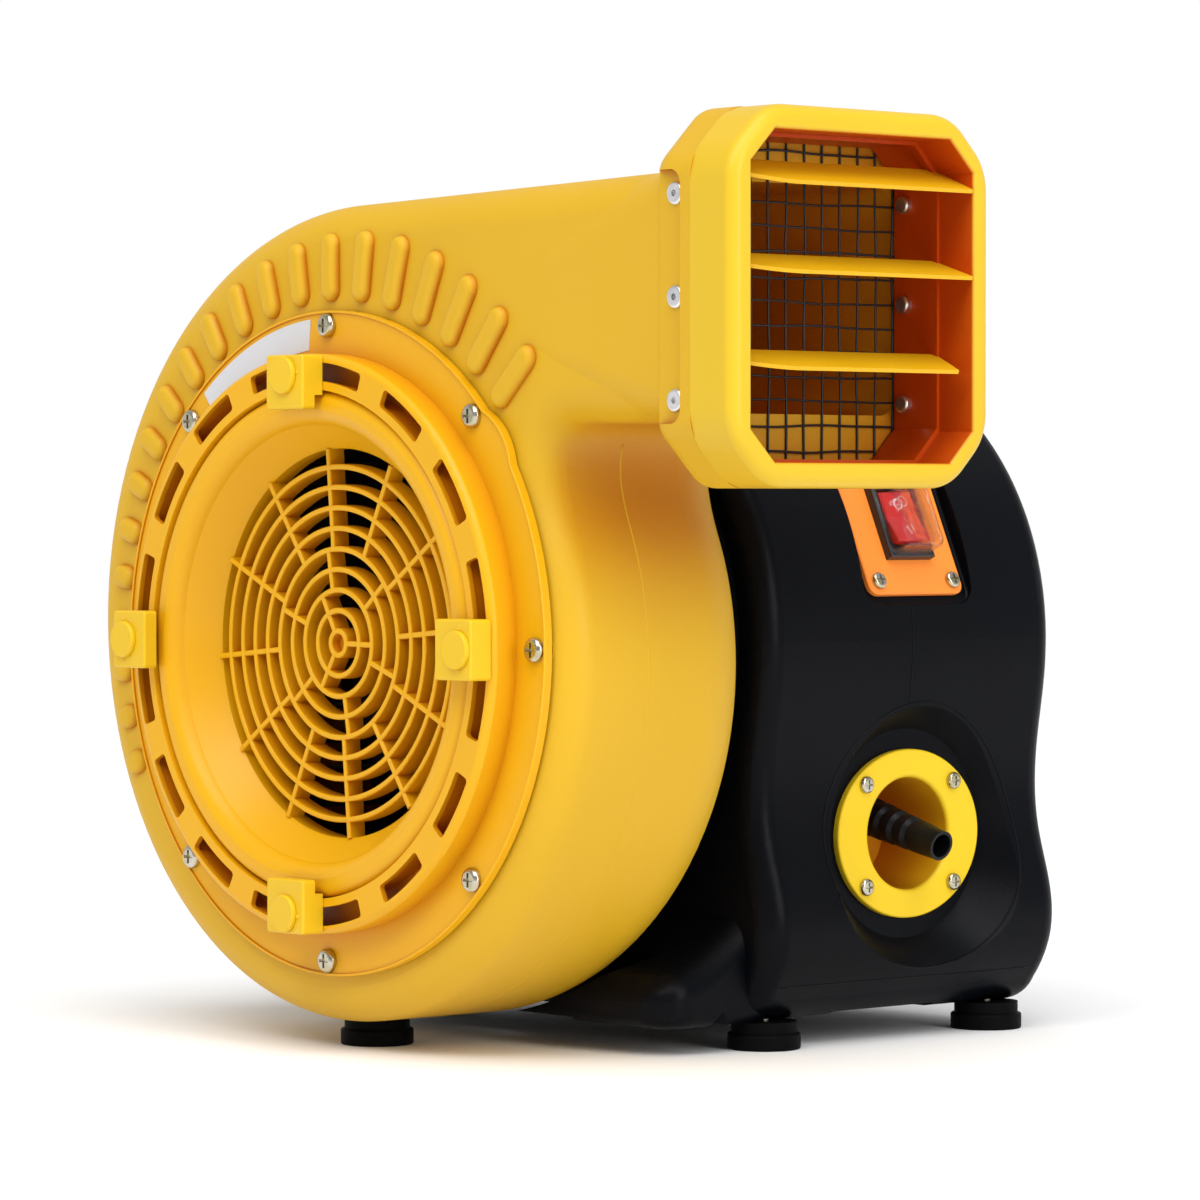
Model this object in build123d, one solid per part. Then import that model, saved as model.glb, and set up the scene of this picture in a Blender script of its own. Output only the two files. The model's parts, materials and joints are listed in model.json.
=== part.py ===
from build123d import *
import os
from math import atan2, cos, degrees, pi, radians, sin, sqrt

# Centrifugal blower with a scroll casing, a square outlet nozzle and a motor pod behind.
# Everything is laid out in a working frame: the fan shaft lies along Y, the inlet faces -Y,
# the outlet faces +X, +Z is up, and the origin is on the shaft in the inlet flange's front face.
# export() moves each piece so that the origin is on the floor, under the middle of the blower.

# ---- Driving dimensions, in millimetres and degrees ---------------------------------------

AXIS_HEIGHT = 174.5          # shaft above the floor
FOOT_HEIGHT = 12.0
BASE_Z = FOOT_HEIGHT - AXIS_HEIGHT

# scroll casing
SCROLL_R0 = 150.0            # outer radius at the +X side, just below the tongue
SCROLL_GROWTH = 0.136        # growth of the radius per degree, clockwise seen from the inlet
SCROLL_START = -20.0         # where the scroll begins, above the +X side
CASING_FRONT = 4.0
CASING_BACK = 118.0
CASING_WALL = 3.5
FRONT_ROUND = 15.0
BACK_ROUND = 38.0
DUCT_TOP = 192.0
DUCT_BOTTOM = 92.0
DUCT_FRONT = 1.5
DUCT_BACK = 133.5
TONGUE_ROUND = 22.0
TONGUE_END_X = 150.0
DUCT_ROUND = 12.0
DRUM_OPENING_R = 127.0       # the fan wheel goes in through this hole
BACK_OPENING_R = 72.0

# raised ribs on the casing's front
RIB_COUNT = 21
RIB_PITCH = 7.9
RIB_FIRST_ANGLE = 43.5
RIB_INNER_R = 145.5
RIB_LONGEST_R = 178.0
RIB_SHORTEST_R = 158.0
RIB_WIDTH = 10.5
RIB_HEIGHT = 4.0

# outlet collar and nozzle
COLLAR_BACK = 207.0
COLLAR_FRONT = 232.0
NOZZLE_FRONT = 256.6
NOZZLE_MID_Y = 67.5
NOZZLE_MID_Z = 140.75
NOZZLE_WIDTH = 143.0
NOZZLE_HEIGHT = 150.5
NOZZLE_CORNER = 20.5
OUTLINE_ROUND = 24.0
LIP_ROUND = 5.5
COLLAR_ROUND = 11.0
COLLAR_CORNER = 22.0
COLLAR_CORNER_ROUND = 13.0
MOUTH_WIDTH = 122.6
MOUTH_HEIGHT = 130.3
MOUTH_CORNER = 13.0
MOUTH_ROUND = 1.5
SLEEVE_WIDTH = 125.8
SLEEVE_HEIGHT = 133.4
SLEEVE_WALL = 3.0
SLEEVE_BACK = 212.4
BORE_WIDTH = SLEEVE_WIDTH - 2 * SLEEVE_WALL
BORE_HEIGHT = SLEEVE_HEIGHT - 2 * SLEEVE_WALL
MOUTH_BACK = 237.0           # the mouth is wider than the bore from here to the front
STEP_X = 210.5               # the mesh rests against this step inside the collar
RIVET_X = 219.0
RIVET_Z = (100.0, 140.75, 181.5)
FLAT_DEPTH = 4.5             # pocket for the rivets in each side of the collar

# inlet flange and slotted ring
FLANGE_R = 141.5
FLANGE_THICKNESS = 3.0
RIM_WIDTH = 1.2              # the raised line round the flange's edge, clear of the screw heads
RIM_HEIGHT = 0.9
RIM_ROUND = 0.35
GASKET_THICKNESS = 1.0
FLANGE_SCREW_R = 135.0
FLANGE_SCREW_COUNT = 8
FLANGE_SHANK_R = 2.4
RING_FRONT = -13.0
RING_OUTER_R = 123.0
RING_INNER_R = 108.0
RING_WALL = 2.5
WINDOW_COUNT = 16
WINDOW_ARC = 14.5
WINDOW_INNER_R = 111.6
WINDOW_OUTER_R = 119.6

# inlet bell and its finger grille
BELL_R = 107.5
BELL_THROAT_R = 83.0
BELL_BACK = 15.0
GRILLE_FRONT = 4.5
GRILLE_BACK = 13.0
GRILLE_RINGS = 9
GRILLE_FIRST_R = 5.2
GRILLE_PITCH = 8.75
GRILLE_FIN = 2.4
GRILLE_ROUND = 0.8

# swivel clips that hold the bell
CLIP_ANGLES = {"top": 90, "right": 0, "bottom": 270, "left": 180}
CLIP_PIN_R = 113.7
CLIP_INNER_R = 99.2
CLIP_OUTER_R = 122.2
CLIP_WIDTH = 25.0
CLIP_FRONT = -24.0
CLIP_BACK = -13.3
CLIP_LIP_BACK = -17.5
PIN_R = 4.0
RUNNING_GAP = 0.05

# fan wheel
WHEEL_R = 105.0
WHEEL_EYE_R = 89.0
WHEEL_FRONT = 23.0
WHEEL_BACK = 92.0
BLADE_COUNT = 36
BLADE_THICKNESS = 1.6

# motor
HUB_BOLT_R = 24.0
PLATE_BOLT_R = 80.0
CAPACITOR_AT = (-62.0, -112.0)
CAPACITOR_R = 18.0
STRAP_Y = 185.0               # of the capacitor's strap and the terminal block
SMALL_SHANK_R = 1.6           # screws of the switch plate and of the cable cup
MOTOR_R = 62.0
PLATE_R = 88.0
PLATE_THICKNESS = 3.0
SHAFT_R = 8.5
SHAFT_NOSE_R = 7.0
SHAFT_TAIL_R = 6.0
BEARING_R = 20.0
BEARING_WIDTH = 12.0
STATOR_FRONT = 143.0
STATOR_BACK = 200.0
ROTOR_R = 35.3

# motor pod
POD_FRONT = 134.0
POD_BACK = 312.0
POD_R = 128.5
POD_WALL = 4.0
POD_ROUND = 11.0
POD_NECK_R = 112.0
POD_SCREW_R = 102.0           # circle of the screws that hold the pod to the casing
POD_SHANK_R = 2.05
COVER_SCREW_R = 101.0         # circle of the rear cover's screws
COVER_SHANK_R = 1.9
ARCH_Y = 220.0                # middle of the arch between the feet
ARCH_RISE = 1.8
CRADLE_FRONT = 88.0          # the pod reaches forward to here, under the drum
CRADLE_WIDTH = 232.0
CRADLE_NOSE = 20.0            # its height at the front
CRADLE_HEIGHT = 34.0          # its height before the pod's wall
CRADLE_SWEEP = 74.0           # its height behind the pod's wall
REAR_OPENING_R = 96.0
REAR_COVER_R = 106.0

# switch plate, on the pod's +X side
SWITCH_Y = 227.0
SWITCH_TILT = 24.4
SWITCH_SEAT = 121.5          # from the shaft to the flat that the plate lies on
SWITCH_PLATE = (57.0, 68.0, 2.6)
ROCKER_SWING = 16.0

# cable cup, on the pod's +X side
CUP_Y = 231.0
CUP_Z = -85.0
CUP_SEAT = 114.0
CUP_FLANGE = (86.0, 74.0, 3.2)
CUP_R = 24.5
CUP_DEPTH = 40.0
RELIEF_DROOP = 14.0
RELIEF_SEAT = 1.6
RELIEF_BOSS = 2.6

FEET = ((108.5, 152.0), (108.5, 288.0), (-108.5, 152.0), (-108.5, 288.0))
FRONT_FOOT = (-17.0, 40.0)

PIECES = {}


# ---- Helpers --------------------------------------------------------------------------------

def keep(name, shape):
    """Store a piece under the name of its node."""
    PIECES[name] = shape
    return shape


def polar(radius, angle):
    return (radius * cos(radians(angle)), radius * sin(radians(angle)))


def slab_y(sketch, y0, y1):
    """Extrude a sketch drawn in (x, z) from y0 to y1."""
    return extrude(Plane.XZ.offset(-y0) * sketch, amount=-(y1 - y0))


def slab_x(sketch, x0, x1):
    """Extrude a sketch drawn in (y, z) from x0 to x1."""
    return extrude(Plane.YZ.offset(x0) * sketch, amount=x1 - x0)


def rod_y(radius, y0, y1, x=0.0, z=0.0):
    return slab_y(Pos(x, z) * Circle(radius), y0, y1)


def rod_x(radius, x0, x1, y=0.0, z=0.0):
    return slab_x(Pos(y, z) * Circle(radius), x0, x1)


def tube_y(outer, inner, y0, y1, x=0.0, z=0.0):
    return slab_y(Pos(x, z) * (Circle(outer) - Circle(inner)), y0, y1)


def around(count, first=0.0):
    """Angles of equally spaced places round the shaft, from +X towards +Z."""
    return [first + 360.0 * k / count for k in range(count)]


def turned(shape, angle):
    """Turn a shape about the shaft, from +X towards +Z."""
    return Rot(0, -angle, 0) * shape


def pan_screw(radius, length, head_r, head_h):
    """A cross-head screw along -Z, with the underside of its head at the origin."""
    head = Pos(0, 0, head_h / 2) * Cylinder(head_r, head_h)
    head = fillet(head.edges().group_by(Axis.Z)[-1], head_h * 0.62)
    for quarter in (0, 90):
        slot = Pos(0, 0, head_h) * Rot(0, 0, quarter) * Box(head_r * 1.15, head_r * 0.24, head_h)
        head -= slot
    shank = Pos(0, 0, -length / 2) * Cylinder(radius, length)
    return head + chamfer(shank.edges().group_by(Axis.Z)[0], radius * 0.4)


def hex_nut(across, bore, height):
    body = extrude(RegularPolygon(across / 2, 6, major_radius=False), amount=height)
    return body - Cylinder(bore, 3 * height)


FACING_FRONT = Rot(90, 0, 0)      # turns +Z to -Y
FACING_BACK = Rot(-90, 0, 0)      # turns +Z to +Y
FACING_RIGHT = Rot(0, 90, 0)      # turns +Z to +X


def eight_sided(width, height, corner):
    """A rectangle with cut corners, about the nozzle's centre, in (y, z)."""
    sketch = chamfer(Rectangle(width, height).vertices(), corner)
    return Pos(NOZZLE_MID_Y, NOZZLE_MID_Z) * sketch


# ---- Scroll casing --------------------------------------------------------------------------

def scroll_radius(swept):
    return SCROLL_R0 + SCROLL_GROWTH * swept


def scroll_face(inset):
    """The scroll's outline in (x, z), moved inwards by inset, with its duct out to the collar."""
    low = DUCT_BOTTOM + inset
    steps = [SCROLL_START + (270.0 - SCROLL_START) * k / 16 for k in range(17)]
    spiral = Spline(*[polar(scroll_radius(s) - inset, -s) for s in steps])
    roof = Line(spiral @ 1, (COLLAR_BACK + 1.0, DUCT_TOP - inset))
    mouth = Line(roof @ 1, (COLLAR_BACK + 1.0, low))
    floor = Line(mouth @ 1, (TONGUE_END_X, low))
    along = (spiral @ 0) - (spiral % 0) * TONGUE_ROUND
    tongue = Bezier(floor @ 1, (TONGUE_END_X - TONGUE_ROUND, low), along, spiral @ 0)
    return make_face(spiral + roof + mouth + floor + tongue)


def scroll_solid(inset):
    """The scroll as a block with rounded edges."""
    block = slab_y(scroll_face(inset), CASING_FRONT + inset, CASING_BACK - inset)
    for side, radius in ((0, FRONT_ROUND), (-1, BACK_ROUND)):
        rim = block.edges().group_by(Axis.Y)[side]
        rim = [e for e in rim if e.center().X < COLLAR_BACK]
        block = fillet(rim, radius - inset)
    return block


def duct_solid(inset, end_x):
    """The straight duct, which widens towards the outlet."""
    start = (125.0, CASING_FRONT, CASING_BACK, DUCT_TOP - 3.0, BACK_ROUND - 2.0)
    finish = (end_x, DUCT_FRONT, DUCT_BACK, DUCT_TOP, DUCT_ROUND)
    sections = []
    for x, front, back, top, rounding in (start, finish):
        width = back - front - 2 * inset
        height = top - DUCT_BOTTOM - 2 * inset
        outline = RectangleRounded(width, height, rounding - inset)
        middle = Pos((front + back) / 2, (top + DUCT_BOTTOM) / 2)
        sections.append(Plane.YZ.offset(x) * middle * outline)
    return loft(sections)


def rib(angle):
    """One raised rib on the casing's front, pointing away from the shaft."""
    drop = 0.19 * max(angle - 72.0, 0.0)
    outer = max(RIB_LONGEST_R - drop, RIB_SHORTEST_R)
    length = outer - RIB_INNER_R
    shape = Pos((outer + RIB_INNER_R) / 2, 0) * SlotOverall(max(length, RIB_WIDTH + 0.5), RIB_WIDTH)
    bar = slab_y(shape, CASING_FRONT - RIB_HEIGHT, CASING_FRONT + 1.0)
    bar = fillet(bar.edges().group_by(Axis.Y)[0], RIB_HEIGHT * 0.85)
    return turned(bar, angle)


def collar_solid():
    """The thick collar on the duct's end, with a pocket for the rivets in each side."""
    outline = eight_sided(NOZZLE_WIDTH, NOZZLE_HEIGHT, COLLAR_CORNER)
    outline = fillet(outline.vertices(), COLLAR_CORNER_ROUND)
    collar = slab_x(outline, COLLAR_BACK, COLLAR_FRONT)
    collar = fillet(collar.edges().group_by(Axis.X)[0], COLLAR_ROUND)
    for side in (-1, 1):
        face_y = NOZZLE_MID_Y + side * (NOZZLE_WIDTH / 2)
        pocket = RectangleRounded(38.0, 100.0, 6.0)
        pocket = extrude(Plane.XZ.offset(-face_y) * Pos(COLLAR_BACK, NOZZLE_MID_Z) * pocket,
                         amount=FLAT_DEPTH, both=True)
        collar -= pocket
    return collar


def make_volute():
    outer = scroll_solid(0.0) + duct_solid(0.0, COLLAR_BACK + 1.0)
    for k in range(RIB_COUNT):
        outer += rib(RIB_FIRST_ANGLE + RIB_PITCH * k)
    outer += collar_solid()
    foot_x, foot_y = FRONT_FOOT
    outer += Pos(foot_x, foot_y, BASE_Z + 5.0) * Cylinder(13.5, 10.0)

    inner = scroll_solid(CASING_WALL) + duct_solid(CASING_WALL, STEP_X + 1.0)
    seat = eight_sided(SLEEVE_WIDTH + 0.2, SLEEVE_HEIGHT + 0.2, MOUTH_CORNER)
    inner += slab_x(seat, STEP_X, COLLAR_FRONT + 1.0)
    casing = outer - inner

    casing -= rod_y(DRUM_OPENING_R, 0.0, CASING_FRONT + CASING_WALL + 1.0)
    casing -= rod_y(BACK_OPENING_R, CASING_BACK - 10.0, CASING_BACK + 1.0)
    for angle in around(FLANGE_SCREW_COUNT):
        x, z = polar(FLANGE_SCREW_R, angle)
        casing += rod_y(5.5, CASING_FRONT + 0.5, CASING_FRONT + 14.0, x, z)
        casing -= rod_y(FLANGE_SHANK_R, CASING_FRONT - 1.0, CASING_FRONT + 15.0, x, z)
    for angle in around(6, 30.0):
        x, z = polar(PLATE_BOLT_R, angle)
        casing -= rod_y(2.6, CASING_BACK - 10.0, CASING_BACK + 1.0, x, z)
        x, z = polar(POD_SCREW_R, angle)
        casing -= rod_y(2.1, CASING_BACK - 10.0, CASING_BACK + 1.0, x, z)
    for z in RIVET_Z:
        hole = Pos(RIVET_X, NOZZLE_MID_Y, z) * FACING_BACK * Cylinder(2.4, 200.0)
        casing -= hole
    casing += Pos(foot_x, foot_y, BASE_Z + 9.0) * Cylinder(6.0, 14.0)
    casing -= Pos(foot_x, foot_y, BASE_Z + 7.0) * Cylinder(2.1, 18.1)
    return casing


# ---- Inlet: flange, gasket, bell, clips --------------------------------------------------------

def window(angle):
    """One slot through the ring's front skin."""
    half = WINDOW_ARC / 2
    inner = [polar(WINDOW_INNER_R, a) for a in (-half, 0.0, half)]
    outer = [polar(WINDOW_OUTER_R, a) for a in (half, 0.0, -half)]
    edge = ThreePointArc(*inner) + Line(inner[2], outer[0]) + ThreePointArc(*outer)
    edge += Line(outer[2], inner[0])
    face = fillet(make_face(edge).vertices(), 1.8)
    return turned(slab_y(face, RING_FRONT - 1.0, RING_FRONT + RING_WALL + 0.5), angle)


def make_flange():
    bump_x, bump_z = polar(114.5, 38.0)
    outline = Circle(FLANGE_R) + Pos(bump_x, bump_z) * Circle(30.0)
    flange = slab_y(outline, 0.0, FLANGE_THICKNESS)
    rim = slab_y(outline - offset(outline, -RIM_WIDTH), -RIM_HEIGHT, 0.5)
    flange += fillet(rim.edges().group_by(Axis.Y)[0], RIM_ROUND)
    ring = rod_y(RING_OUTER_R, RING_FRONT, 0.5)
    ring = fillet(ring.edges().group_by(Axis.Y)[0], 3.0)
    flange += ring
    flange -= rod_y(RING_INNER_R, RING_FRONT - 1.0, 0.0)
    flange -= tube_y(RING_OUTER_R - RING_WALL, RING_INNER_R + RING_WALL,
                     RING_FRONT + RING_WALL, 0.0)
    flange -= rod_y(101.0, -1.0, FLANGE_THICKNESS + 1.0)
    for k in range(WINDOW_COUNT):
        flange -= window(360.0 / WINDOW_COUNT * (k + 0.5))
    for angle in around(FLANGE_SCREW_COUNT):
        x, z = polar(FLANGE_SCREW_R, angle)
        flange -= rod_y(FLANGE_SHANK_R + 0.2, -1.0, FLANGE_THICKNESS + 1.0, x, z)
    for angle in CLIP_ANGLES.values():
        x, z = polar(CLIP_PIN_R, angle)
        flange -= rod_y(PIN_R, RING_FRONT - 1.0, RING_FRONT + RING_WALL + 1.0, x, z)
    return flange


def make_gasket():
    front = FLANGE_THICKNESS
    back = FLANGE_THICKNESS + GASKET_THICKNESS
    gasket = tube_y(FLANGE_R - 2.0, DRUM_OPENING_R + 0.5, front, back)
    for angle in around(FLANGE_SCREW_COUNT):
        x, z = polar(FLANGE_SCREW_R, angle)
        gasket -= rod_y(FLANGE_SHANK_R + 0.4, front - 1.0, back + 1.0, x, z)
    return gasket


def make_bell():
    """The funnel that leads air to the fan."""
    crest = RING_FRONT
    throat = BELL_THROAT_R
    profile = Polyline((BELL_R, 0.0), (BELL_R, crest + 5.0))
    profile += ThreePointArc((BELL_R, crest + 5.0), (BELL_R - 1.5, crest + 1.5), (BELL_R - 5.0, crest))
    profile += Line((BELL_R - 5.0, crest), (BELL_R - 8.0, crest))
    profile += ThreePointArc((BELL_R - 8.0, crest), (BELL_R - 12.0, crest + 2.0),
                             (BELL_R - 14.5, crest + 6.0))
    profile += Polyline((BELL_R - 14.5, crest + 6.0), (throat, GRILLE_FRONT + 2.0), (throat, BELL_BACK),
                        (throat + 3.0, BELL_BACK), (throat + 3.0, GRILLE_FRONT + 3.0),
                        (BELL_R - 11.5, crest + 8.0), (BELL_R - 8.5, crest + 3.5),
                        (BELL_R - 4.5, crest + 3.5), (BELL_R - 3.0, crest + 6.0), (BELL_R - 3.0, 0.0),
                        (BELL_R, 0.0))
    return revolve(make_face(profile), Axis.Y)


def make_grille():
    """The finger grille, a web of rings and spokes across the bell's throat."""
    radii = [GRILLE_FIRST_R + GRILLE_PITCH * k for k in range(GRILLE_RINGS)]
    bars = []
    for radius in radii:
        ring = tube_y(radius + GRILLE_FIN / 2, radius - GRILLE_FIN / 2, GRILLE_FRONT, GRILLE_BACK)
        bars.append(fillet(ring.edges().group_by(Axis.Y)[0], GRILLE_ROUND))
    spokes = ((3, -1.0, radii[0], radii[2]), (6, 40.0, radii[2], radii[4]),
              (12, 5.0, radii[4], BELL_THROAT_R + 1.5))
    for count, first, inner, outer in spokes:
        bar = Pos((inner + outer) / 2, 0) * Rectangle(outer - inner, GRILLE_FIN)
        bar = slab_y(bar, GRILLE_FRONT + 0.2, GRILLE_BACK)
        bar = fillet(bar.edges().filter_by(Axis.X).group_by(Axis.Y)[0], GRILLE_ROUND)
        bars += [turned(bar, angle) for angle in around(count, first)]
    hub = slab_y(Circle(radii[0]), GRILLE_BACK - 4.0, GRILLE_BACK)
    return (hub + bars) & rod_y(BELL_THROAT_R, GRILLE_FRONT, GRILLE_BACK)


def make_clip(angle):
    """A swivel clip: a block on the ring with a lip that hangs over the bell's rim."""
    middle = (CLIP_INNER_R + CLIP_OUTER_R) / 2
    shape = Pos(middle, 0) * RectangleRounded(CLIP_OUTER_R - CLIP_INNER_R, CLIP_WIDTH, 1.5)
    clip = slab_y(shape, CLIP_FRONT, CLIP_BACK)
    clip = fillet(clip.edges().group_by(Axis.Y)[0], 1.0)
    clip -= Pos(CLIP_INNER_R, (CLIP_LIP_BACK + CLIP_BACK) / 2 + 1.0, 0) * Box(
        12.0, CLIP_BACK - CLIP_LIP_BACK + 2.0, CLIP_WIDTH + 2.0)
    clip -= rod_y(PIN_R + RUNNING_GAP, CLIP_FRONT - 1.0, CLIP_BACK + 1.0, CLIP_PIN_R)
    return turned(clip, angle)


def clip_pin(angle):
    pin = rod_y(PIN_R, CLIP_FRONT - 0.5, RING_FRONT + RING_WALL + 1.0, CLIP_PIN_R)
    head = rod_y(8.0, CLIP_FRONT - 2.2, CLIP_FRONT - 0.2, CLIP_PIN_R)
    head = fillet(head.edges().group_by(Axis.Y)[0], 0.8)
    return turned(pin + head, angle)


def make_label():
    """A blank foil label on the flange, between two of its screws."""
    inner = [polar(125.5, a) for a in (96.0, 112.0, 129.0)]
    outer = [polar(138.5, a) for a in (129.0, 112.0, 95.0)]
    edge = ThreePointArc(*inner) + Line(inner[2], outer[0]) + ThreePointArc(*outer)
    edge += Line(outer[2], inner[0])
    return slab_y(make_face(edge), -0.3, 0.0)


# ---- Outlet: nozzle, vanes, mesh ---------------------------------------------------------------

# height of the front edge, rise to the back edge, and gap at the far front corner
VANES = {"upper": (185.5, 9.0, 0.0), "middle": (150.5, 7.0, 0.0), "lower": (112.5, 7.0, 9.0)}
VANE_BACK = 233.5
VANE_FRONT = 256.0
VANE_THICKNESS = 1.6


def is_mouth_edge(middle):
    """Whether the middle of an edge lies on the mouth's outline, not on the nozzle's outside."""
    across = abs(middle.Y - NOZZLE_MID_Y)
    up = abs(middle.Z - NOZZLE_MID_Z)
    corner = (MOUTH_WIDTH + MOUTH_HEIGHT) / 2 - MOUTH_CORNER
    return across < MOUTH_WIDTH / 2 + 1.0 and up < MOUTH_HEIGHT / 2 + 1.0 and across + up < corner + 1.0


def make_nozzle():
    outline = eight_sided(NOZZLE_WIDTH, NOZZLE_HEIGHT, NOZZLE_CORNER)
    outline = fillet(outline.vertices(), OUTLINE_ROUND)
    nozzle = slab_x(outline, COLLAR_FRONT, NOZZLE_FRONT)
    nozzle = fillet(nozzle.edges().group_by(Axis.X)[-1], LIP_ROUND)
    nozzle += slab_x(eight_sided(SLEEVE_WIDTH, SLEEVE_HEIGHT, MOUTH_CORNER), SLEEVE_BACK,
                     COLLAR_FRONT + 1.0)
    mouth = eight_sided(MOUTH_WIDTH, MOUTH_HEIGHT, MOUTH_CORNER)
    nozzle -= slab_x(mouth, MOUTH_BACK, NOZZLE_FRONT + 1.0)
    bore = eight_sided(BORE_WIDTH, BORE_HEIGHT, MOUTH_CORNER)
    nozzle -= slab_x(bore, SLEEVE_BACK - 1.0, MOUTH_BACK + 1.0)
    lip = [e for e in nozzle.edges().group_by(Axis.X)[-1] if is_mouth_edge(e.center())]
    nozzle = fillet(lip, MOUTH_ROUND)
    for z in RIVET_Z:
        nozzle -= Pos(RIVET_X, NOZZLE_MID_Y, z) * FACING_BACK * Cylinder(2.4, 200.0)
    return nozzle


def make_vane(front_z, drop, gap):
    """A thin sloping vane across the mouth, with its near front corner rounded off."""
    slope = degrees(atan2(drop, VANE_FRONT - VANE_BACK))
    depth = sqrt(drop * drop + (VANE_FRONT - VANE_BACK) ** 2)
    near = NOZZLE_MID_Y - MOUTH_WIDTH / 2 - 1.0
    far = NOZZLE_MID_Y + MOUTH_WIDTH / 2 + 1.0
    edge = Line((0, near), (depth - 11.0, near)) + Line((0, near), (0, far))
    edge += Line((0, far), (depth, far - gap))
    edge += Line((depth, far - gap), (depth, near + 30.0))
    edge += Spline((depth, near + 30.0), (depth - 4.0, near + 10.0), (depth - 11.0, near),
                   tangents=((0, -1), (-1, -0.6)))
    plate = extrude(make_face(edge), amount=VANE_THICKNESS / 2, both=True)
    plate = Pos(VANE_BACK, 0, front_z + drop) * Rot(0, slope, 0) * plate
    hollow = slab_x(eight_sided(BORE_WIDTH, BORE_HEIGHT, MOUTH_CORNER), SLEEVE_BACK, MOUTH_BACK + 1.0)
    hollow += slab_x(eight_sided(MOUTH_WIDTH, MOUTH_HEIGHT, MOUTH_CORNER), MOUTH_BACK, NOZZLE_FRONT + 1.0)
    return plate & hollow


def make_mesh():
    """A welded wire guard: round wires ten millimetres apart, joined where they cross."""
    width = SLEEVE_WIDTH - 1.6
    height = SLEEVE_HEIGHT - 1.6
    x = (STEP_X + SLEEVE_BACK) / 2
    wires = []
    for k in range(-6, 7):
        span = height - (2 * MOUTH_CORNER if abs(k) == 6 else 0)
        wires.append(Pos(x - 0.35, NOZZLE_MID_Y + 10 * k, NOZZLE_MID_Z) * Cylinder(0.5, span))
    for k in range(-6, 7):
        span = width - (2 * MOUTH_CORNER if abs(k) == 6 else 0)
        wires.append(Pos(x + 0.35, NOZZLE_MID_Y, NOZZLE_MID_Z + 10 * k) * FACING_BACK
                     * Cylinder(0.5, span))
    return wires[0] + wires[1:]


def rivet(side, z):
    """A blind rivet through the collar and the nozzle's sleeve, its head in the pocket."""
    flat = NOZZLE_MID_Y + side * (NOZZLE_WIDTH / 2 - FLAT_DEPTH)
    inside = NOZZLE_MID_Y + side * (SLEEVE_WIDTH / 2 - SLEEVE_WALL)
    body = Pos(0, 0, 0.75) * Cylinder(4.6, 1.5)
    body = fillet(body.edges().group_by(Axis.Z)[-1], 1.1)
    reach = abs(flat - inside)
    body += Pos(0, 0, -reach / 2) * Cylinder(2.4, reach + 0.2)
    tail = Pos(0, 0, -reach - 1.6) * Cylinder(3.6, 3.2)
    body += fillet(tail.edges().group_by(Axis.Z)[0], 1.2)
    body -= Pos(0, 0, 1.0) * Cylinder(1.3, 4.0)
    turn = FACING_FRONT if side < 0 else FACING_BACK
    return Pos(RIVET_X, flat, z) * turn * body


# ---- Fan wheel and its shaft -------------------------------------------------------------------

def make_wheel():
    """A forward-curved fan wheel: back plate, blades and front ring in one moulding."""
    plate = tube_y(WHEEL_R, 16.0, WHEEL_BACK - 3.0, WHEEL_BACK)
    ring = tube_y(WHEEL_R, WHEEL_EYE_R, WHEEL_FRONT, WHEEL_FRONT + 3.0)
    inner = polar(WHEEL_EYE_R, 0.0)
    outer = polar(WHEEL_R - 0.4, -5.5)
    middle = ((inner[0] + outer[0]) / 2 + 0.5, (inner[1] + outer[1]) / 2 + 2.6)
    blade = trace(ThreePointArc(inner, middle, outer), BLADE_THICKNESS)
    blade = slab_y(blade, WHEEL_FRONT + 1.5, WHEEL_BACK - 1.5)
    blades = [turned(blade, angle) for angle in around(BLADE_COUNT)]
    wheel = plate + ring + blades
    for angle in around(4, 45.0):
        x, z = polar(HUB_BOLT_R, angle)
        wheel -= rod_y(2.1, WHEEL_BACK - 5.0, WHEEL_BACK + 1.0, x, z)
    return wheel


def make_hub():
    hub = rod_y(30.0, WHEEL_BACK, WHEEL_BACK + 4.0) + rod_y(15.95, 66.0, WHEEL_BACK + 1.0)
    hub -= rod_y(SHAFT_NOSE_R, 60.0, 100.0)
    for angle in around(4, 45.0):
        x, z = polar(HUB_BOLT_R, angle)
        hub -= rod_y(2.1, WHEEL_BACK - 1.0, WHEEL_BACK + 5.0, x, z)
    hub -= Pos(0, 74.0, 11.5) * Cylinder(2.5, 10.0)
    return hub


def make_shaft():
    shaft = rod_y(SHAFT_R, 104.0, 232.0)
    shaft += rod_y(SHAFT_NOSE_R, 66.0, 105.0)
    shaft += rod_y(5.0, 52.0, 67.0)
    shaft += rod_y(SHAFT_TAIL_R, 231.0, 252.0)
    return chamfer(shaft.edges().group_by(Axis.Y)[0], 0.8)


def make_cooling_fan():
    fan = tube_y(13.0, SHAFT_TAIL_R, 236.0, 250.0)
    fan += tube_y(52.0, 12.0, 236.0, 238.0)
    blade = slab_y(Pos(31.0, 0) * Rectangle(40.0, 2.0), 237.0, 249.0)
    fan += [turned(blade, angle) for angle in around(8)]
    return fan


# ---- Motor -------------------------------------------------------------------------------------

LUG_R = 66.0
STUD_R = 2.5


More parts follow.
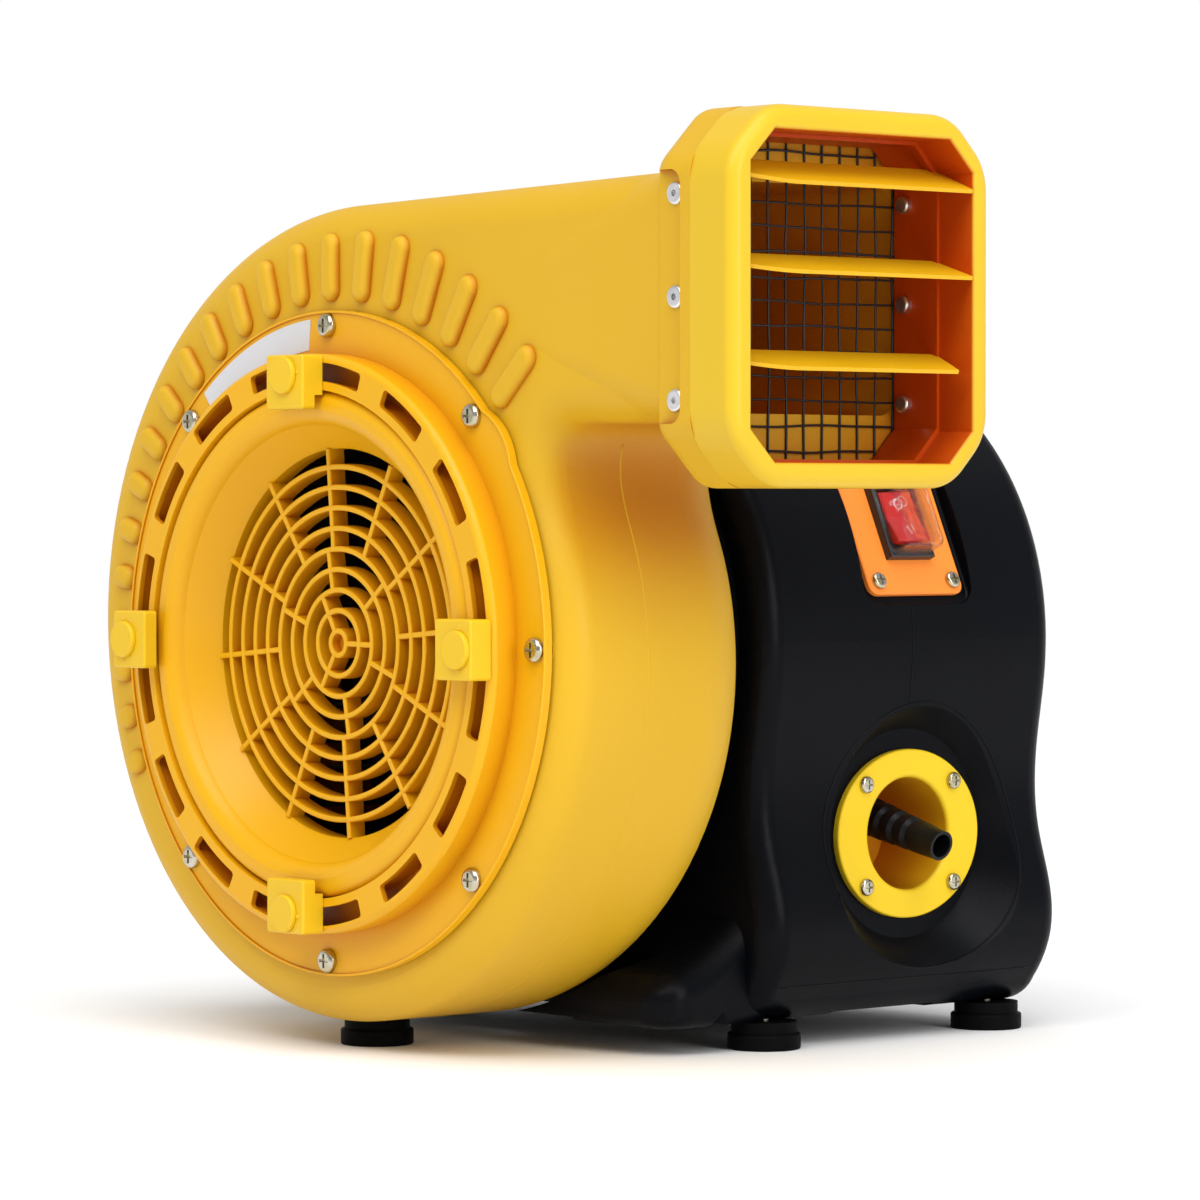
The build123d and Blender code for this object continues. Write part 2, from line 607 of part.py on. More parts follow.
def end_bell(plate_y, seat_y, rim_y):
    """A motor end bell: a plate, a rim that grips the core, a bearing seat and four lugs."""
    low, high = sorted((plate_y, rim_y))
    step = 3.0 if rim_y > plate_y else -3.0
    bell = tube_y(MOTOR_R, MOTOR_R - 3.0, low, high)
    face = sorted((plate_y, plate_y + step))
    bell += tube_y(MOTOR_R, SHAFT_R + 3.0, *face)
    seat = sorted((plate_y, seat_y))
    bell += tube_y(BEARING_R + 4.0, BEARING_R, *seat)
    bell += tube_y(BEARING_R + 1.0, SHAFT_R + 3.0, *face)
    for angle in around(4, 45.0):
        x, z = polar(LUG_R, angle)
        bell += rod_y(6.0, low, high, x, z) - rod_y(MOTOR_R - 2.0, low - 1.0, high + 1.0)
    for angle in around(4, 45.0):
        x, z = polar(LUG_R, angle)
        bell -= rod_y(STUD_R, low - 1.0, high + 1.0, x, z)
    for angle in around(12):
        vent = Pos(42.0, 0) * SlotOverall(18.0, 6.0)
        bell -= turned(slab_y(vent, face[0] - 1.0, face[1] + 1.0), angle)
    return bell


def make_stator():
    core = tube_y(MOTOR_R - 3.0, 46.0, STATOR_FRONT, STATOR_BACK)
    tooth = slab_y(Pos(41.0, 0) * Rectangle(11.0, 5.0), STATOR_FRONT, STATOR_BACK)
    core += [turned(tooth, angle) for angle in around(24)]
    return core - rod_y(ROTOR_R + 0.6, STATOR_FRONT - 1.0, STATOR_BACK + 1.0)


def make_windings():
    front = tube_y(56.0, 38.5, STATOR_FRONT - 12.0, STATOR_FRONT - 0.2)
    front = fillet(front.edges().group_by(Axis.Y)[0], 4.0)
    back = tube_y(56.0, 38.5, STATOR_BACK + 0.2, STATOR_BACK + 12.0)
    back = fillet(back.edges().group_by(Axis.Y)[-1], 4.0)
    return [front, back]


def make_bearing(y0):
    """A shielded ball bearing as one ring, with a running fit on the shaft."""
    ring = tube_y(BEARING_R, SHAFT_R + RUNNING_GAP, y0, y0 + BEARING_WIDTH)
    groove = tube_y(17.0, 11.5, y0 - 1.0, y0 + 0.6) + tube_y(17.0, 11.5, y0 + BEARING_WIDTH - 0.6,
                                                             y0 + BEARING_WIDTH + 1.0)
    return ring - groove


# ---- Motor pod ---------------------------------------------------------------------------------

def pod_face(inset):
    """The pod's outline in (x, z): round at the top, waisted, and flared at the base."""
    base = BASE_Z + inset
    side = [(POD_R, 0.0), (122.5, -52.0), (123.5, -82.0), (132.0, -115.0), (131.5, -132.0),
            (121.0, -153.0)]
    right = [(x - inset, z) for x, z in side]
    edges = []
    for mirror in (1, -1):
        points = [(mirror * x, z) for x, z in right]
        edges.append(Spline(*points, tangents=((0, -1), (mirror * -0.62, -0.78))))
        corner = (mirror * (106.0 - inset), base)
        edges.append(ThreePointArc(points[-1], (mirror * (115.0 - 0.9 * inset), -159.5 + 0.8 * inset),
                                   corner))
    crown = ThreePointArc((inset - POD_R, 0), (0, POD_R - inset), (POD_R - inset, 0))
    floor = Line((106.0 - inset, base), (inset - 106.0, base))
    return make_face(edges[0] + edges[1] + edges[2] + edges[3] + crown + floor)


def pod_block(inset, rounding):
    block = slab_y(pod_face(inset), POD_FRONT + inset, POD_BACK - inset)
    ends = block.edges().group_by(Axis.Y)
    return fillet(ends[0] + ends[-1], rounding)


def switch_plane(distance):
    """The plane of the switch flat, at a distance from the shaft, with x along +Y."""
    normal = (cos(radians(SWITCH_TILT)), 0, sin(radians(SWITCH_TILT)))
    origin = (normal[0] * distance, SWITCH_Y, normal[2] * distance)
    return Plane(origin=origin, x_dir=(0, 1, 0), z_dir=normal)


def cup_dish(extra):
    """The cone that is scooped out round the cable cup, made larger by extra."""
    depth = 30.0
    cone = Cone(46.0 + extra, 46.0 + extra + depth * 0.85, depth)
    return Pos(CUP_SEAT - extra + depth / 2, CUP_Y, CUP_Z) * FACING_RIGHT * cone


def cradle_solid():
    """The pod's foot, which sweeps forward and down under the drum, with rounded flanks."""
    back = POD_FRONT + 20.0
    top = Spline((CRADLE_FRONT, BASE_Z + CRADLE_NOSE), (POD_FRONT - 14.0, BASE_Z + CRADLE_HEIGHT),
                 (back, BASE_Z + CRADLE_SWEEP))
    side = top + Line((back, BASE_Z + CRADLE_SWEEP), (back, BASE_Z))
    side += Polyline((back, BASE_Z), (CRADLE_FRONT, BASE_Z), (CRADLE_FRONT, BASE_Z + CRADLE_NOSE))
    cradle = extrude(make_face(Plane.YZ * side), amount=CRADLE_WIDTH / 2, both=True)
    cradle = fillet(cradle.edges().filter_by(Axis.Z).group_by(Axis.Y)[0], 16.0)
    flank = [e for e in cradle.edges() if abs(e.center().X) > 60.0 and e.center().Z > BASE_Z + CRADLE_NOSE]
    cradle = fillet(flank, 12.0)
    return fillet(cradle.edges().group_by(Axis.Z)[0], 5.0)


def make_pod():
    outer = pod_block(0.0, POD_ROUND)
    outer += rod_y(POD_NECK_R, CASING_BACK, POD_FRONT + 5.0)
    outer += cradle_solid() - slab_y(scroll_face(-0.4), 0.0, CASING_BACK)
    plate_l, plate_h, plate_t = SWITCH_PLATE
    recess = extrude(switch_plane(SWITCH_SEAT) * RectangleRounded(plate_l + 9.0, plate_h + 9.0, 8.0),
                     amount=30.0)
    outer -= fillet(recess.faces().sort_by(Axis.X)[0].edges(), 1.5)
    outer -= cup_dish(0.0)

    inner = pod_block(POD_WALL, POD_ROUND - POD_WALL)
    backing = extrude(switch_plane(SWITCH_SEAT - POD_WALL)
                      * RectangleRounded(plate_l + 17.0, plate_h + 17.0, 10.0), amount=30.0)
    inner -= backing
    inner -= cup_dish(POD_WALL)
    inner += rod_y(POD_NECK_R - 20.0, CASING_BACK - 1.0, POD_FRONT + 6.0)
    inner += rod_y(REAR_OPENING_R, POD_BACK - 6.0, POD_BACK + 1.0)
    pod = outer - inner

    arch = Pos(0, ARCH_Y, BASE_Z) * Box(300.0, 62.0, 2 * ARCH_RISE)
    tunnel = Pos(0, ARCH_Y, BASE_Z) * Box(110.0, 300.0, 2 * ARCH_RISE)
    pod -= arch + tunnel
    notch = Pos(0, 121.0, BASE_Z) * Rot(45, 0, 0) * Box(300.0, 9.0, 9.0)
    pod -= notch
    for x, y in FEET:
        pod += Pos(x, y, BASE_Z + 8.0) * Cylinder(6.5, 9.0)
        pod -= Pos(x, y, BASE_Z + 6.0) * Cylinder(2.1, 13.5)
    for angle in around(6, 30.0):
        x, z = polar(POD_SCREW_R, angle)
        pod -= rod_y(2.1, CASING_BACK - 1.0, CASING_BACK + 14.0, x, z)
    for angle in around(6):
        x, z = polar(COVER_SCREW_R, angle)
        pod -= rod_y(COVER_SHANK_R, POD_BACK - 14.0, POD_BACK + 1.0, x, z)
    pod -= extrude(switch_plane(SWITCH_SEAT) * Rectangle(24.0, 31.0), amount=20.0, both=True)
    for u, v in plate_corners():
        hole = switch_plane(SWITCH_SEAT) * Pos(u, v) * Circle(SMALL_SHANK_R)
        pod -= extrude(hole, amount=20.0, both=True)
    pod -= rod_x(CUP_R + 2.2, CUP_SEAT - 20.0, CUP_SEAT + 5.0, CUP_Y, CUP_Z)
    for y, z in cup_corners():
        pod -= rod_x(SMALL_SHANK_R, CUP_SEAT - 20.0, CUP_SEAT + 5.0, y, z)
    return pod


def plate_corners():
    return [(u, v) for u in (-22.5, 22.5) for v in (-28.0, 28.0)]


def cup_corners():
    return [(CUP_Y + u, CUP_Z + v) for u in (-26.7, 26.7) for v in (-22.3, 22.3)]


def make_rear_cover():
    cover = rod_y(REAR_COVER_R, POD_BACK, POD_BACK + 4.0)
    cover = fillet(cover.edges().group_by(Axis.Y)[-1], 2.5)
    cover += rod_y(REAR_OPENING_R - 0.3, POD_BACK - 4.0, POD_BACK + 1.0)
    cover -= rod_y(REAR_OPENING_R - 4.0, POD_BACK - 5.0, POD_BACK + 1.0)
    for reach, count in ((78.0, 36), (48.0, 20)):
        slot = Pos(reach, 0) * SlotOverall(22.0, 5.0)
        for angle in around(count, 180.0 / count):
            cover -= turned(slab_y(slot, POD_BACK - 5.0, POD_BACK + 5.0), angle)
    for angle in around(6):
        x, z = polar(COVER_SCREW_R, angle)
        cover -= rod_y(2.1, POD_BACK - 1.0, POD_BACK + 5.0, x, z)
    return cover


# ---- Switch ------------------------------------------------------------------------------------

def on_switch(distance):
    return Location(switch_plane(distance))


def make_switch_plate():
    length, height, thick = SWITCH_PLATE
    plate = extrude(RectangleRounded(length, height, 5.0) - Rectangle(24.0, 31.0), amount=thick)
    outer = [e for e in plate.edges().group_by(Axis.Z)[-1] if e.center().length > 24.0 or e.length < 12.0]
    plate = chamfer(outer, 0.6)
    for u, v in plate_corners():
        plate -= Pos(u, v, thick / 2) * Cylinder(1.8, thick + 1.0)
    return on_switch(SWITCH_SEAT) * plate


PIVOT_HEIGHT = 1.5           # of the rocker's pivot above the plate's front


def make_switch_body():
    """The switch's black bezel and its body behind the plate."""
    thick = SWITCH_PLATE[2]
    body = Pos(0, 0, thick + 2.0) * Box(27.0, 36.0, 4.0)
    body = fillet(body.edges().group_by(Axis.Z)[-1], 1.0)
    body += Pos(0, 0, thick - 11.0) * Box(23.6, 30.6, 22.2)
    body -= Pos(0, 0, thick + 1.0) * Box(20.6, 27.6, 12.0)
    for u in (-5.0, 5.0):
        for v in (-9.0, 0.0, 9.0):
            body += Pos(u, v, thick - 26.0) * Box(0.8, 6.3, 9.0)
    axle = Pos(0, 0, thick + PIVOT_HEIGHT) * Rot(0, 90, 0) * Cylinder(1.2, 22.0)
    return on_switch(SWITCH_SEAT) * (body - axle)


def make_switch_pin():
    thick = SWITCH_PLATE[2]
    pin = Pos(0, 0, thick + PIVOT_HEIGHT) * Rot(0, 90, 0) * Cylinder(1.15, 21.8)
    return on_switch(SWITCH_SEAT) * pin


def make_rocker():
    """The rocker, at rest with its upper end pressed in."""
    thick = SWITCH_PLATE[2]
    outline = [(-12.4, 4.4), (-12.4, 1.0), (-5.0, -2.6), (5.0, -2.6), (12.4, 1.0), (12.4, 4.4), (0.0, 2.6)]
    side = make_face(Plane.YZ * Polyline(*outline, close=True))
    rocker = extrude(side, amount=9.6, both=True)
    rocker = fillet(rocker.edges().filter_by(Axis.X).group_by(Axis.Z)[-1], 0.8)
    rocker -= Rot(0, 90, 0) * Cylinder(1.15 + RUNNING_GAP, 30.0)
    rocker = Rot(-ROCKER_SWING / 2, 0, 0) * rocker
    return on_switch(SWITCH_SEAT) * Pos(0, 0, thick + PIVOT_HEIGHT) * rocker


def make_boot():
    """A clear splash boot over the rocker, clamped by its rim round the bezel's top."""
    thick = SWITCH_PLATE[2]
    dome = Pos(0, 0, thick + 4.0 + 5.0) * Box(25.0, 34.0, 10.0)
    dome = fillet(dome.edges().filter_by(Axis.Z), 4.0)
    dome = fillet(dome.edges().group_by(Axis.Z)[-1], 3.0)
    hollow = Pos(0, 0, thick + 4.0 + 4.0) * Box(22.8, 31.8, 9.8)
    hollow = fillet(hollow.edges().filter_by(Axis.Z), 3.0)
    hollow = fillet(hollow.edges().group_by(Axis.Z)[-1], 2.0)
    return on_switch(SWITCH_SEAT) * (dome - hollow)


# ---- Cable entry -------------------------------------------------------------------------------

def make_cable_cup():
    """The oval flange with its deep cup, in which the strain relief is anchored."""
    length, height, thick = CUP_FLANGE
    flange = extrude(Plane.YZ * Ellipse(length / 2, height / 2), amount=thick)
    flange = fillet(flange.edges().group_by(Axis.X)[-1], 0.9)
    flange += Pos(-CUP_DEPTH / 2 + 0.5, 0, 0) * FACING_RIGHT * Cylinder(CUP_R + 2.0, CUP_DEPTH + 1.0)
    flange -= Pos(thick / 2 - CUP_DEPTH / 2 + 1.5, 0, 0) * FACING_RIGHT * Cylinder(
        CUP_R, CUP_DEPTH + thick - 0.5)
    mouth = [e for e in flange.edges().group_by(Axis.X)[-1] if e.length < 2 * pi * (CUP_R + 1)]
    flange = fillet(mouth, 2.2)
    cup = Pos(CUP_SEAT, CUP_Y, CUP_Z) * flange
    cup += relief_axis() * Pos(0, 0, (RELIEF_SEAT - RELIEF_BOSS) / 2) * Cylinder(
        12.5, RELIEF_SEAT + RELIEF_BOSS)
    cup -= relief_axis() * Pos(0, 0, -RELIEF_BOSS - 10.0) * Cylinder(15.0, 20.0)
    cup -= relief_axis() * Pos(0, 0, RELIEF_SEAT + 10.0) * Cylinder(10.3, 20.0)
    cup -= relief_axis() * Cylinder(8.0, 30.0)
    for y, z in cup_corners():
        cup -= rod_x(1.9, CUP_SEAT - 2.0, CUP_SEAT + thick + 1.0, y, z)
    return cup


def relief_axis():
    """The strain relief's frame: origin where it leaves the cup's floor, +Z along it."""
    return Pos(CUP_SEAT - CUP_DEPTH + 1.0, CUP_Y, CUP_Z + 11.0) * Rot(0, 90 + RELIEF_DROOP, 0)


def make_strain_relief():
    """A ribbed, tapered sleeve that grips the cable."""
    length = 64.0
    points = [(0.0, -8.0), (7.9, -8.0), (7.9, RELIEF_SEAT), (10.0, RELIEF_SEAT), (10.0, 6.0)]
    for k in range(6):
        z = 8.0 + 8.0 * k
        wide = 9.0 - 0.22 * (z - 8.0) / 8.0 * 1.6
        points += [(wide - 1.3, z - 1.4), (wide - 1.3, z), (wide, z + 0.6), (wide - 0.1, z + 4.8)]
    points += [(6.9, length - 6.0), (6.6, length), (0.0, length)]
    face = make_face(Plane.XZ * Polyline(*points, close=True))
    sleeve = revolve(face, Axis.Z)
    sleeve -= Pos(0, 0, length / 2) * Cylinder(5.2, length + 20.0)
    return relief_axis() * sleeve


def make_relief_nut():
    nut = hex_nut(24.0, 7.95, 5.0)
    return relief_axis() * Pos(0, 0, -RELIEF_BOSS - 5.0) * nut


# ---- Feet --------------------------------------------------------------------------------------

def make_foot(x, y):
    foot = Pos(0, 0, -FOOT_HEIGHT / 2) * Cylinder(14.2, FOOT_HEIGHT)
    pad = Pos(0, 0, -FOOT_HEIGHT + 3.5) * Cylinder(15.8, 7.0)
    foot += fillet(pad.edges().filter_by(GeomType.CIRCLE), 1.0)
    foot -= Pos(0, 0, -FOOT_HEIGHT) * Cylinder(5.6, 12.0)
    foot -= Pos(0, 0, -FOOT_HEIGHT / 2) * Cylinder(2.2, FOOT_HEIGHT + 2.0)
    return Pos(x, y, BASE_Z) * foot


def foot_screw(x, y):
    screw = pan_screw(2.0, 16.0, 4.6, 2.8)
    return Pos(x, y, BASE_Z - FOOT_HEIGHT + 6.0) * Rot(180, 0, 0) * screw


# ---- Assembly ----------------------------------------------------------------------------------

def build_casing():
    keep("volute_casing", make_volute())
    keep("inlet_flange", make_flange())
    keep("flange_gasket", make_gasket())
    keep("inlet_bell", make_bell())
    keep("finger_grille", make_grille())
    keep("inlet_label", make_label())
    screw = pan_screw(FLANGE_SHANK_R, 14.0, 5.2, 3.2)
    places = [polar(FLANGE_SCREW_R, angle) for angle in around(FLANGE_SCREW_COUNT)]
    keep("flange_screws", [Pos(x, 0, z) * FACING_FRONT * screw for x, z in places])
    for name, angle in CLIP_ANGLES.items():
        keep("clip_" + name, make_clip(angle))
    keep("clip_pins", [clip_pin(angle) for angle in CLIP_ANGLES.values()])


def build_outlet():
    keep("outlet_nozzle", make_nozzle())
    for name, (front_z, drop, gap) in VANES.items():
        keep("vane_" + name, make_vane(front_z, drop, gap))
    keep("outlet_mesh", make_mesh())
    keep("nozzle_rivets", [rivet(side, z) for side in (-1, 1) for z in RIVET_Z])


def build_rotor():
    keep("fan_wheel", make_wheel())
    keep("wheel_hub", make_hub())
    bolt = pan_screw(2.0, 11.0, 4.0, 2.6)
    places = [polar(HUB_BOLT_R, angle) for angle in around(4, 45.0)]
    keep("hub_bolts", [Pos(x, WHEEL_BACK - 3.0, z) * FACING_FRONT * bolt for x, z in places])
    keep("hub_set_screw", Pos(0, 74.0, 11.4) * Cylinder(2.45, 8.0))
    keep("shaft_washer", tube_y(13.0, 5.1, 64.0, 66.0))
    keep("shaft_nut", Pos(0, 56.0, 0) * FACING_BACK * hex_nut(17.0, 5.0, 8.0))
    keep("motor_shaft", make_shaft())
    keep("rotor_core", tube_y(ROTOR_R, SHAFT_R, STATOR_FRONT + 1.0, STATOR_BACK - 1.0))
    keep("cooling_fan", make_cooling_fan())
    keep("fan_retaining_ring", tube_y(9.0, SHAFT_TAIL_R, 250.0, 251.2))


def build_motor():
    plate = tube_y(PLATE_R, 24.5, CASING_BACK, CASING_BACK + PLATE_THICKNESS)
    bolts = []
    nuts = []
    for angle in around(6, 30.0):
        x, z = polar(PLATE_BOLT_R, angle)
        plate -= rod_y(2.6, CASING_BACK - 1.0, CASING_BACK + PLATE_THICKNESS + 1.0, x, z)
        head = slab_y(Pos(x, z) * RegularPolygon(4.0, 6, major_radius=False),
                      CASING_BACK + PLATE_THICKNESS, CASING_BACK + PLATE_THICKNESS + 3.5)
        bolts.append(head + rod_y(2.5, CASING_BACK - 9.0, CASING_BACK + PLATE_THICKNESS + 1.0, x, z))
        nuts.append(Pos(x, CASING_BACK - CASING_WALL - 4.0, z) * FACING_BACK * hex_nut(8.0, 2.5, 4.0))
    for angle in around(4, 45.0):
        x, z = polar(LUG_R, angle)
        plate -= rod_y(STUD_R, CASING_BACK - 1.0, CASING_BACK + PLATE_THICKNESS + 1.0, x, z)
    keep("motor_plate", plate)
    keep("plate_bolts", bolts)
    keep("plate_nuts", nuts)
    front = CASING_BACK + PLATE_THICKNESS
    keep("front_end_bell", end_bell(front, front + 15.0, STATOR_FRONT))
    keep("rear_end_bell", end_bell(STATOR_BACK + 25.0, STATOR_BACK + 10.0, STATOR_BACK))
    keep("front_bearing", make_bearing(front + 3.0))
    keep("rear_bearing", make_bearing(STATOR_BACK + 10.0))
    keep("stator_core", make_stator())
    keep("stator_windings", make_windings())
    studs = []
    ends = []
    for angle in around(4, 45.0):
        x, z = polar(LUG_R, angle)
        studs.append(rod_y(STUD_R, CASING_BACK - 8.0, STATOR_BACK + 31.0, x, z))
        ends.append(Pos(x, STATOR_BACK + 25.0, z) * FACING_BACK * hex_nut(8.0, STUD_R, 4.0))
        ends.append(Pos(x, CASING_BACK - 4.0, z) * FACING_BACK * hex_nut(8.0, STUD_R, 4.0))
    keep("motor_studs", studs)
    keep("stud_nuts", ends)
    x, z = CAPACITOR_AT
    keep("run_capacitor", fillet(rod_y(CAPACITOR_R, 150.0, 222.0, x, z).edges(), 1.5))
    strap = tube_y(CAPACITOR_R + 2.0, CAPACITOR_R, STRAP_Y - 7.0, STRAP_Y + 7.0, x, z)
    strap += Pos(x, STRAP_Y, z - 33.0) * Box(4.0, 14.0, 26.5)
    strap += Pos(x, STRAP_Y, BASE_Z + POD_WALL + 1.0) * Box(44.0, 14.0, 2.0)
    keep("capacitor_strap", strap - rod_y(CAPACITOR_R, STRAP_Y - 15.0, STRAP_Y + 15.0, x, z))
    block = Pos(40.0, STRAP_Y, BASE_Z + POD_WALL + 9.0) * Box(52.0, 24.0, 18.0)
    for k in range(4):
        block -= Pos(22.0 + 12.0 * k, STRAP_Y, BASE_Z + POD_WALL + 15.0) * Box(8.0, 18.0, 8.0)
    keep("terminal_block", block)


def build_pod():
    keep("motor_pod", make_pod())
    keep("rear_cover", make_rear_cover())
    inner = pan_screw(POD_SHANK_R, 14.0, 4.4, 2.8)
    places = [polar(POD_SCREW_R, angle) for angle in around(6, 30.0)]
    keep("pod_screws", [Pos(x, CASING_BACK - CASING_WALL, z) * FACING_FRONT * inner for x, z in places])
    cover = pan_screw(COVER_SHANK_R, 14.0, 4.4, 2.8)
    places = [polar(COVER_SCREW_R, angle) for angle in around(6)]
    keep("rear_cover_screws", [Pos(x, POD_BACK + 4.0, z) * FACING_BACK * cover for x, z in places])


def build_switch():
    keep("switch_plate", make_switch_plate())
    keep("switch_body", make_switch_body())
    keep("switch_pin", make_switch_pin())
    keep("switch_rocker", make_rocker())
    keep("switch_boot", make_boot())
    small = pan_screw(SMALL_SHANK_R, 10.0, 3.8, 2.4)
    keep("switch_plate_screws", [on_switch(SWITCH_SEAT + SWITCH_PLATE[2]) * Pos(u, v, 0) * small
                                 for u, v in plate_corners()])


def build_cable_entry():
    keep("cable_cup", make_cable_cup())
    keep("strain_relief", make_strain_relief())
    keep("relief_nut", make_relief_nut())
    small = pan_screw(SMALL_SHANK_R, 10.0, 3.8, 2.4)
    keep("cable_cup_screws", [Pos(CUP_SEAT + CUP_FLANGE[2], y, z) * FACING_RIGHT * small
                              for y, z in cup_corners()])


def build_feet():
    places = list(FEET) + [FRONT_FOOT]
    keep("rubber_feet", [make_foot(x, y) for x, y in places])
    keep("foot_screws", [foot_screw(x, y) for x, y in places])


def export():
    """Move every piece so that the origin is on the floor under the middle, and write it."""
    left = -scroll_radius(180.0)
    low_y = CLIP_FRONT - 2.2
    high_y = POD_BACK + 4.0 + 2.8
    shift = Pos(-(left + NOZZLE_FRONT) / 2, -(low_y + high_y) / 2, AXIS_HEIGHT)
    os.makedirs("parts", exist_ok=True)
    for name, shape in PIECES.items():
        solids = shape if isinstance(shape, list) else [shape]
        moved = [shift * solid for solid in solids]
        whole = moved[0] if len(moved) == 1 else Compound(children=moved)
        export_step(whole, "parts/" + name + ".step")


build_casing()
build_outlet()
build_rotor()
build_motor()
build_pod()
build_switch()
build_cable_entry()
build_feet()
export()
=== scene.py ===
import json
import math

import bmesh
import bpy
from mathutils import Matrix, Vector
from mathutils.bvhtree import BVHTree


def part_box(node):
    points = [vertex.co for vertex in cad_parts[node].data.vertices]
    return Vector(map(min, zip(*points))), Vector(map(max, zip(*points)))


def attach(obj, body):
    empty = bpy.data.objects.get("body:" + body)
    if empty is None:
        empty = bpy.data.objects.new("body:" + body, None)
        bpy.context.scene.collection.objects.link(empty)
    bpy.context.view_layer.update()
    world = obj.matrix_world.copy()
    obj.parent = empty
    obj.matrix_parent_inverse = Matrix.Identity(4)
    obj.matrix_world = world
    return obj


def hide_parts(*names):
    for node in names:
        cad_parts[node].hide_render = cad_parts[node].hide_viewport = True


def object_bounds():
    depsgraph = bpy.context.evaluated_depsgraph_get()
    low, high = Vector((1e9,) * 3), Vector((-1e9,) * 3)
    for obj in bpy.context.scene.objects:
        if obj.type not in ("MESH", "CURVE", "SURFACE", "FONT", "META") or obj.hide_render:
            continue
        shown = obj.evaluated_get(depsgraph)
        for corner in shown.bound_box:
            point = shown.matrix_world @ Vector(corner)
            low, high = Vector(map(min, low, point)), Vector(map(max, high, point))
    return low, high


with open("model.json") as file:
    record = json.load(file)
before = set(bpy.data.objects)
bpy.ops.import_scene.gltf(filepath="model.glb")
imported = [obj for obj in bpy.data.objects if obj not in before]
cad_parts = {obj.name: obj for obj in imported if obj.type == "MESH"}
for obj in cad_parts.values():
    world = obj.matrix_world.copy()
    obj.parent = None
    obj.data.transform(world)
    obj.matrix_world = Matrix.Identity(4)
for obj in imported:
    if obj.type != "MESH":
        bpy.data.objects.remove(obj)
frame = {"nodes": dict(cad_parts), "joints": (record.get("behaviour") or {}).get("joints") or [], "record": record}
CAD_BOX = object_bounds()
NODES = frame["nodes"]
RECORD = frame["record"]
MM = 0.001

# ---- Places taken from the frame -----------------------------------------------------------

SPIN = next(j for j in frame["joints"] if j["name"] == "fan_spin")
AXIS_X = SPIN["pos_m"][0]
AXIS_Z = SPIN["pos_m"][2]
FLANGE_THICKNESS = 3.0 * MM
FLANGE_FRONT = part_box("flange_gasket")[0].y - FLANGE_THICKNESS


def place(x, y, z):
    """A point given in millimetres from the shaft and the flange's front face."""
    return Vector((AXIS_X + x * MM, FLANGE_FRONT + y * MM, AXIS_Z + z * MM))


# ---- Materials -------------------------------------------------------------------------------

def new_material(name):
    material = bpy.data.materials.new(name)
    material.use_nodes = True
    tree = material.node_tree
    return material, tree, tree.nodes["Principled BSDF"]


def coordinates(tree, scale=(1.0, 1.0, 1.0)):
    source = tree.nodes.new("ShaderNodeTexCoord")
    mapping = tree.nodes.new("ShaderNodeMapping")
    mapping.inputs["Scale"].default_value = scale
    tree.links.new(source.outputs["Object"], mapping.inputs["Vector"])
    return mapping.outputs["Vector"]


def noise(tree, vector, scale, detail=4.0, roughness=0.55):
    node = tree.nodes.new("ShaderNodeTexNoise")
    node.inputs["Scale"].default_value = scale
    node.inputs["Detail"].default_value = detail
    node.inputs["Roughness"].default_value = roughness
    tree.links.new(vector, node.inputs["Vector"])
    return node.outputs["Fac"]


def spread(tree, value, low, high):
    """Maps the middle of a noise onto low to high."""
    node = tree.nodes.new("ShaderNodeMapRange")
    node.inputs["From Min"].default_value = 0.3
    node.inputs["From Max"].default_value = 0.7
    node.inputs["To Min"].default_value = low
    node.inputs["To Max"].default_value = high
    tree.links.new(value, node.inputs["Value"])
    return node.outputs["Result"]


def blend_colors(tree, factor, first, second):
    node = tree.nodes.new("ShaderNodeMix")
    node.data_type = "RGBA"
    node.inputs["A"].default_value = (*first, 1.0)
    node.inputs["B"].default_value = (*second, 1.0)
    tree.links.new(factor, node.inputs["Factor"])
    return node.outputs["Result"]


def raise_bumps(tree, shader, heights):
    """Stacks bump nodes, each from (height, depth in metres)."""
    normal = None
    for height, depth in heights:
        bump = tree.nodes.new("ShaderNodeBump")
        bump.inputs["Strength"].default_value = 1.0
        bump.inputs["Distance"].default_value = depth
        tree.links.new(height, bump.inputs["Height"])
        if normal is not None:
            tree.links.new(normal, bump.inputs["Normal"])
        normal = bump.outputs["Normal"]
    tree.links.new(normal, shader.inputs["Normal"])


def painted_shade_mask(tree, reach, shut, open_wide, alone):
    """Painted shade: 1 on open surfaces, falling to 0 in corners and hollows where shade falls, from an ambient
    occlusion node. Where alone is set, other pieces do not count."""
    node = tree.nodes.new("ShaderNodeAmbientOcclusion")
    node.samples = 8
    node.only_local = alone
    node.inputs["Distance"].default_value = reach
    lift = tree.nodes.new("ShaderNodeMapRange")
    lift.inputs["From Min"].default_value = shut
    lift.inputs["From Max"].default_value = open_wide
    tree.links.new(node.outputs["AO"], lift.inputs["Value"])
    return lift.outputs["Result"]


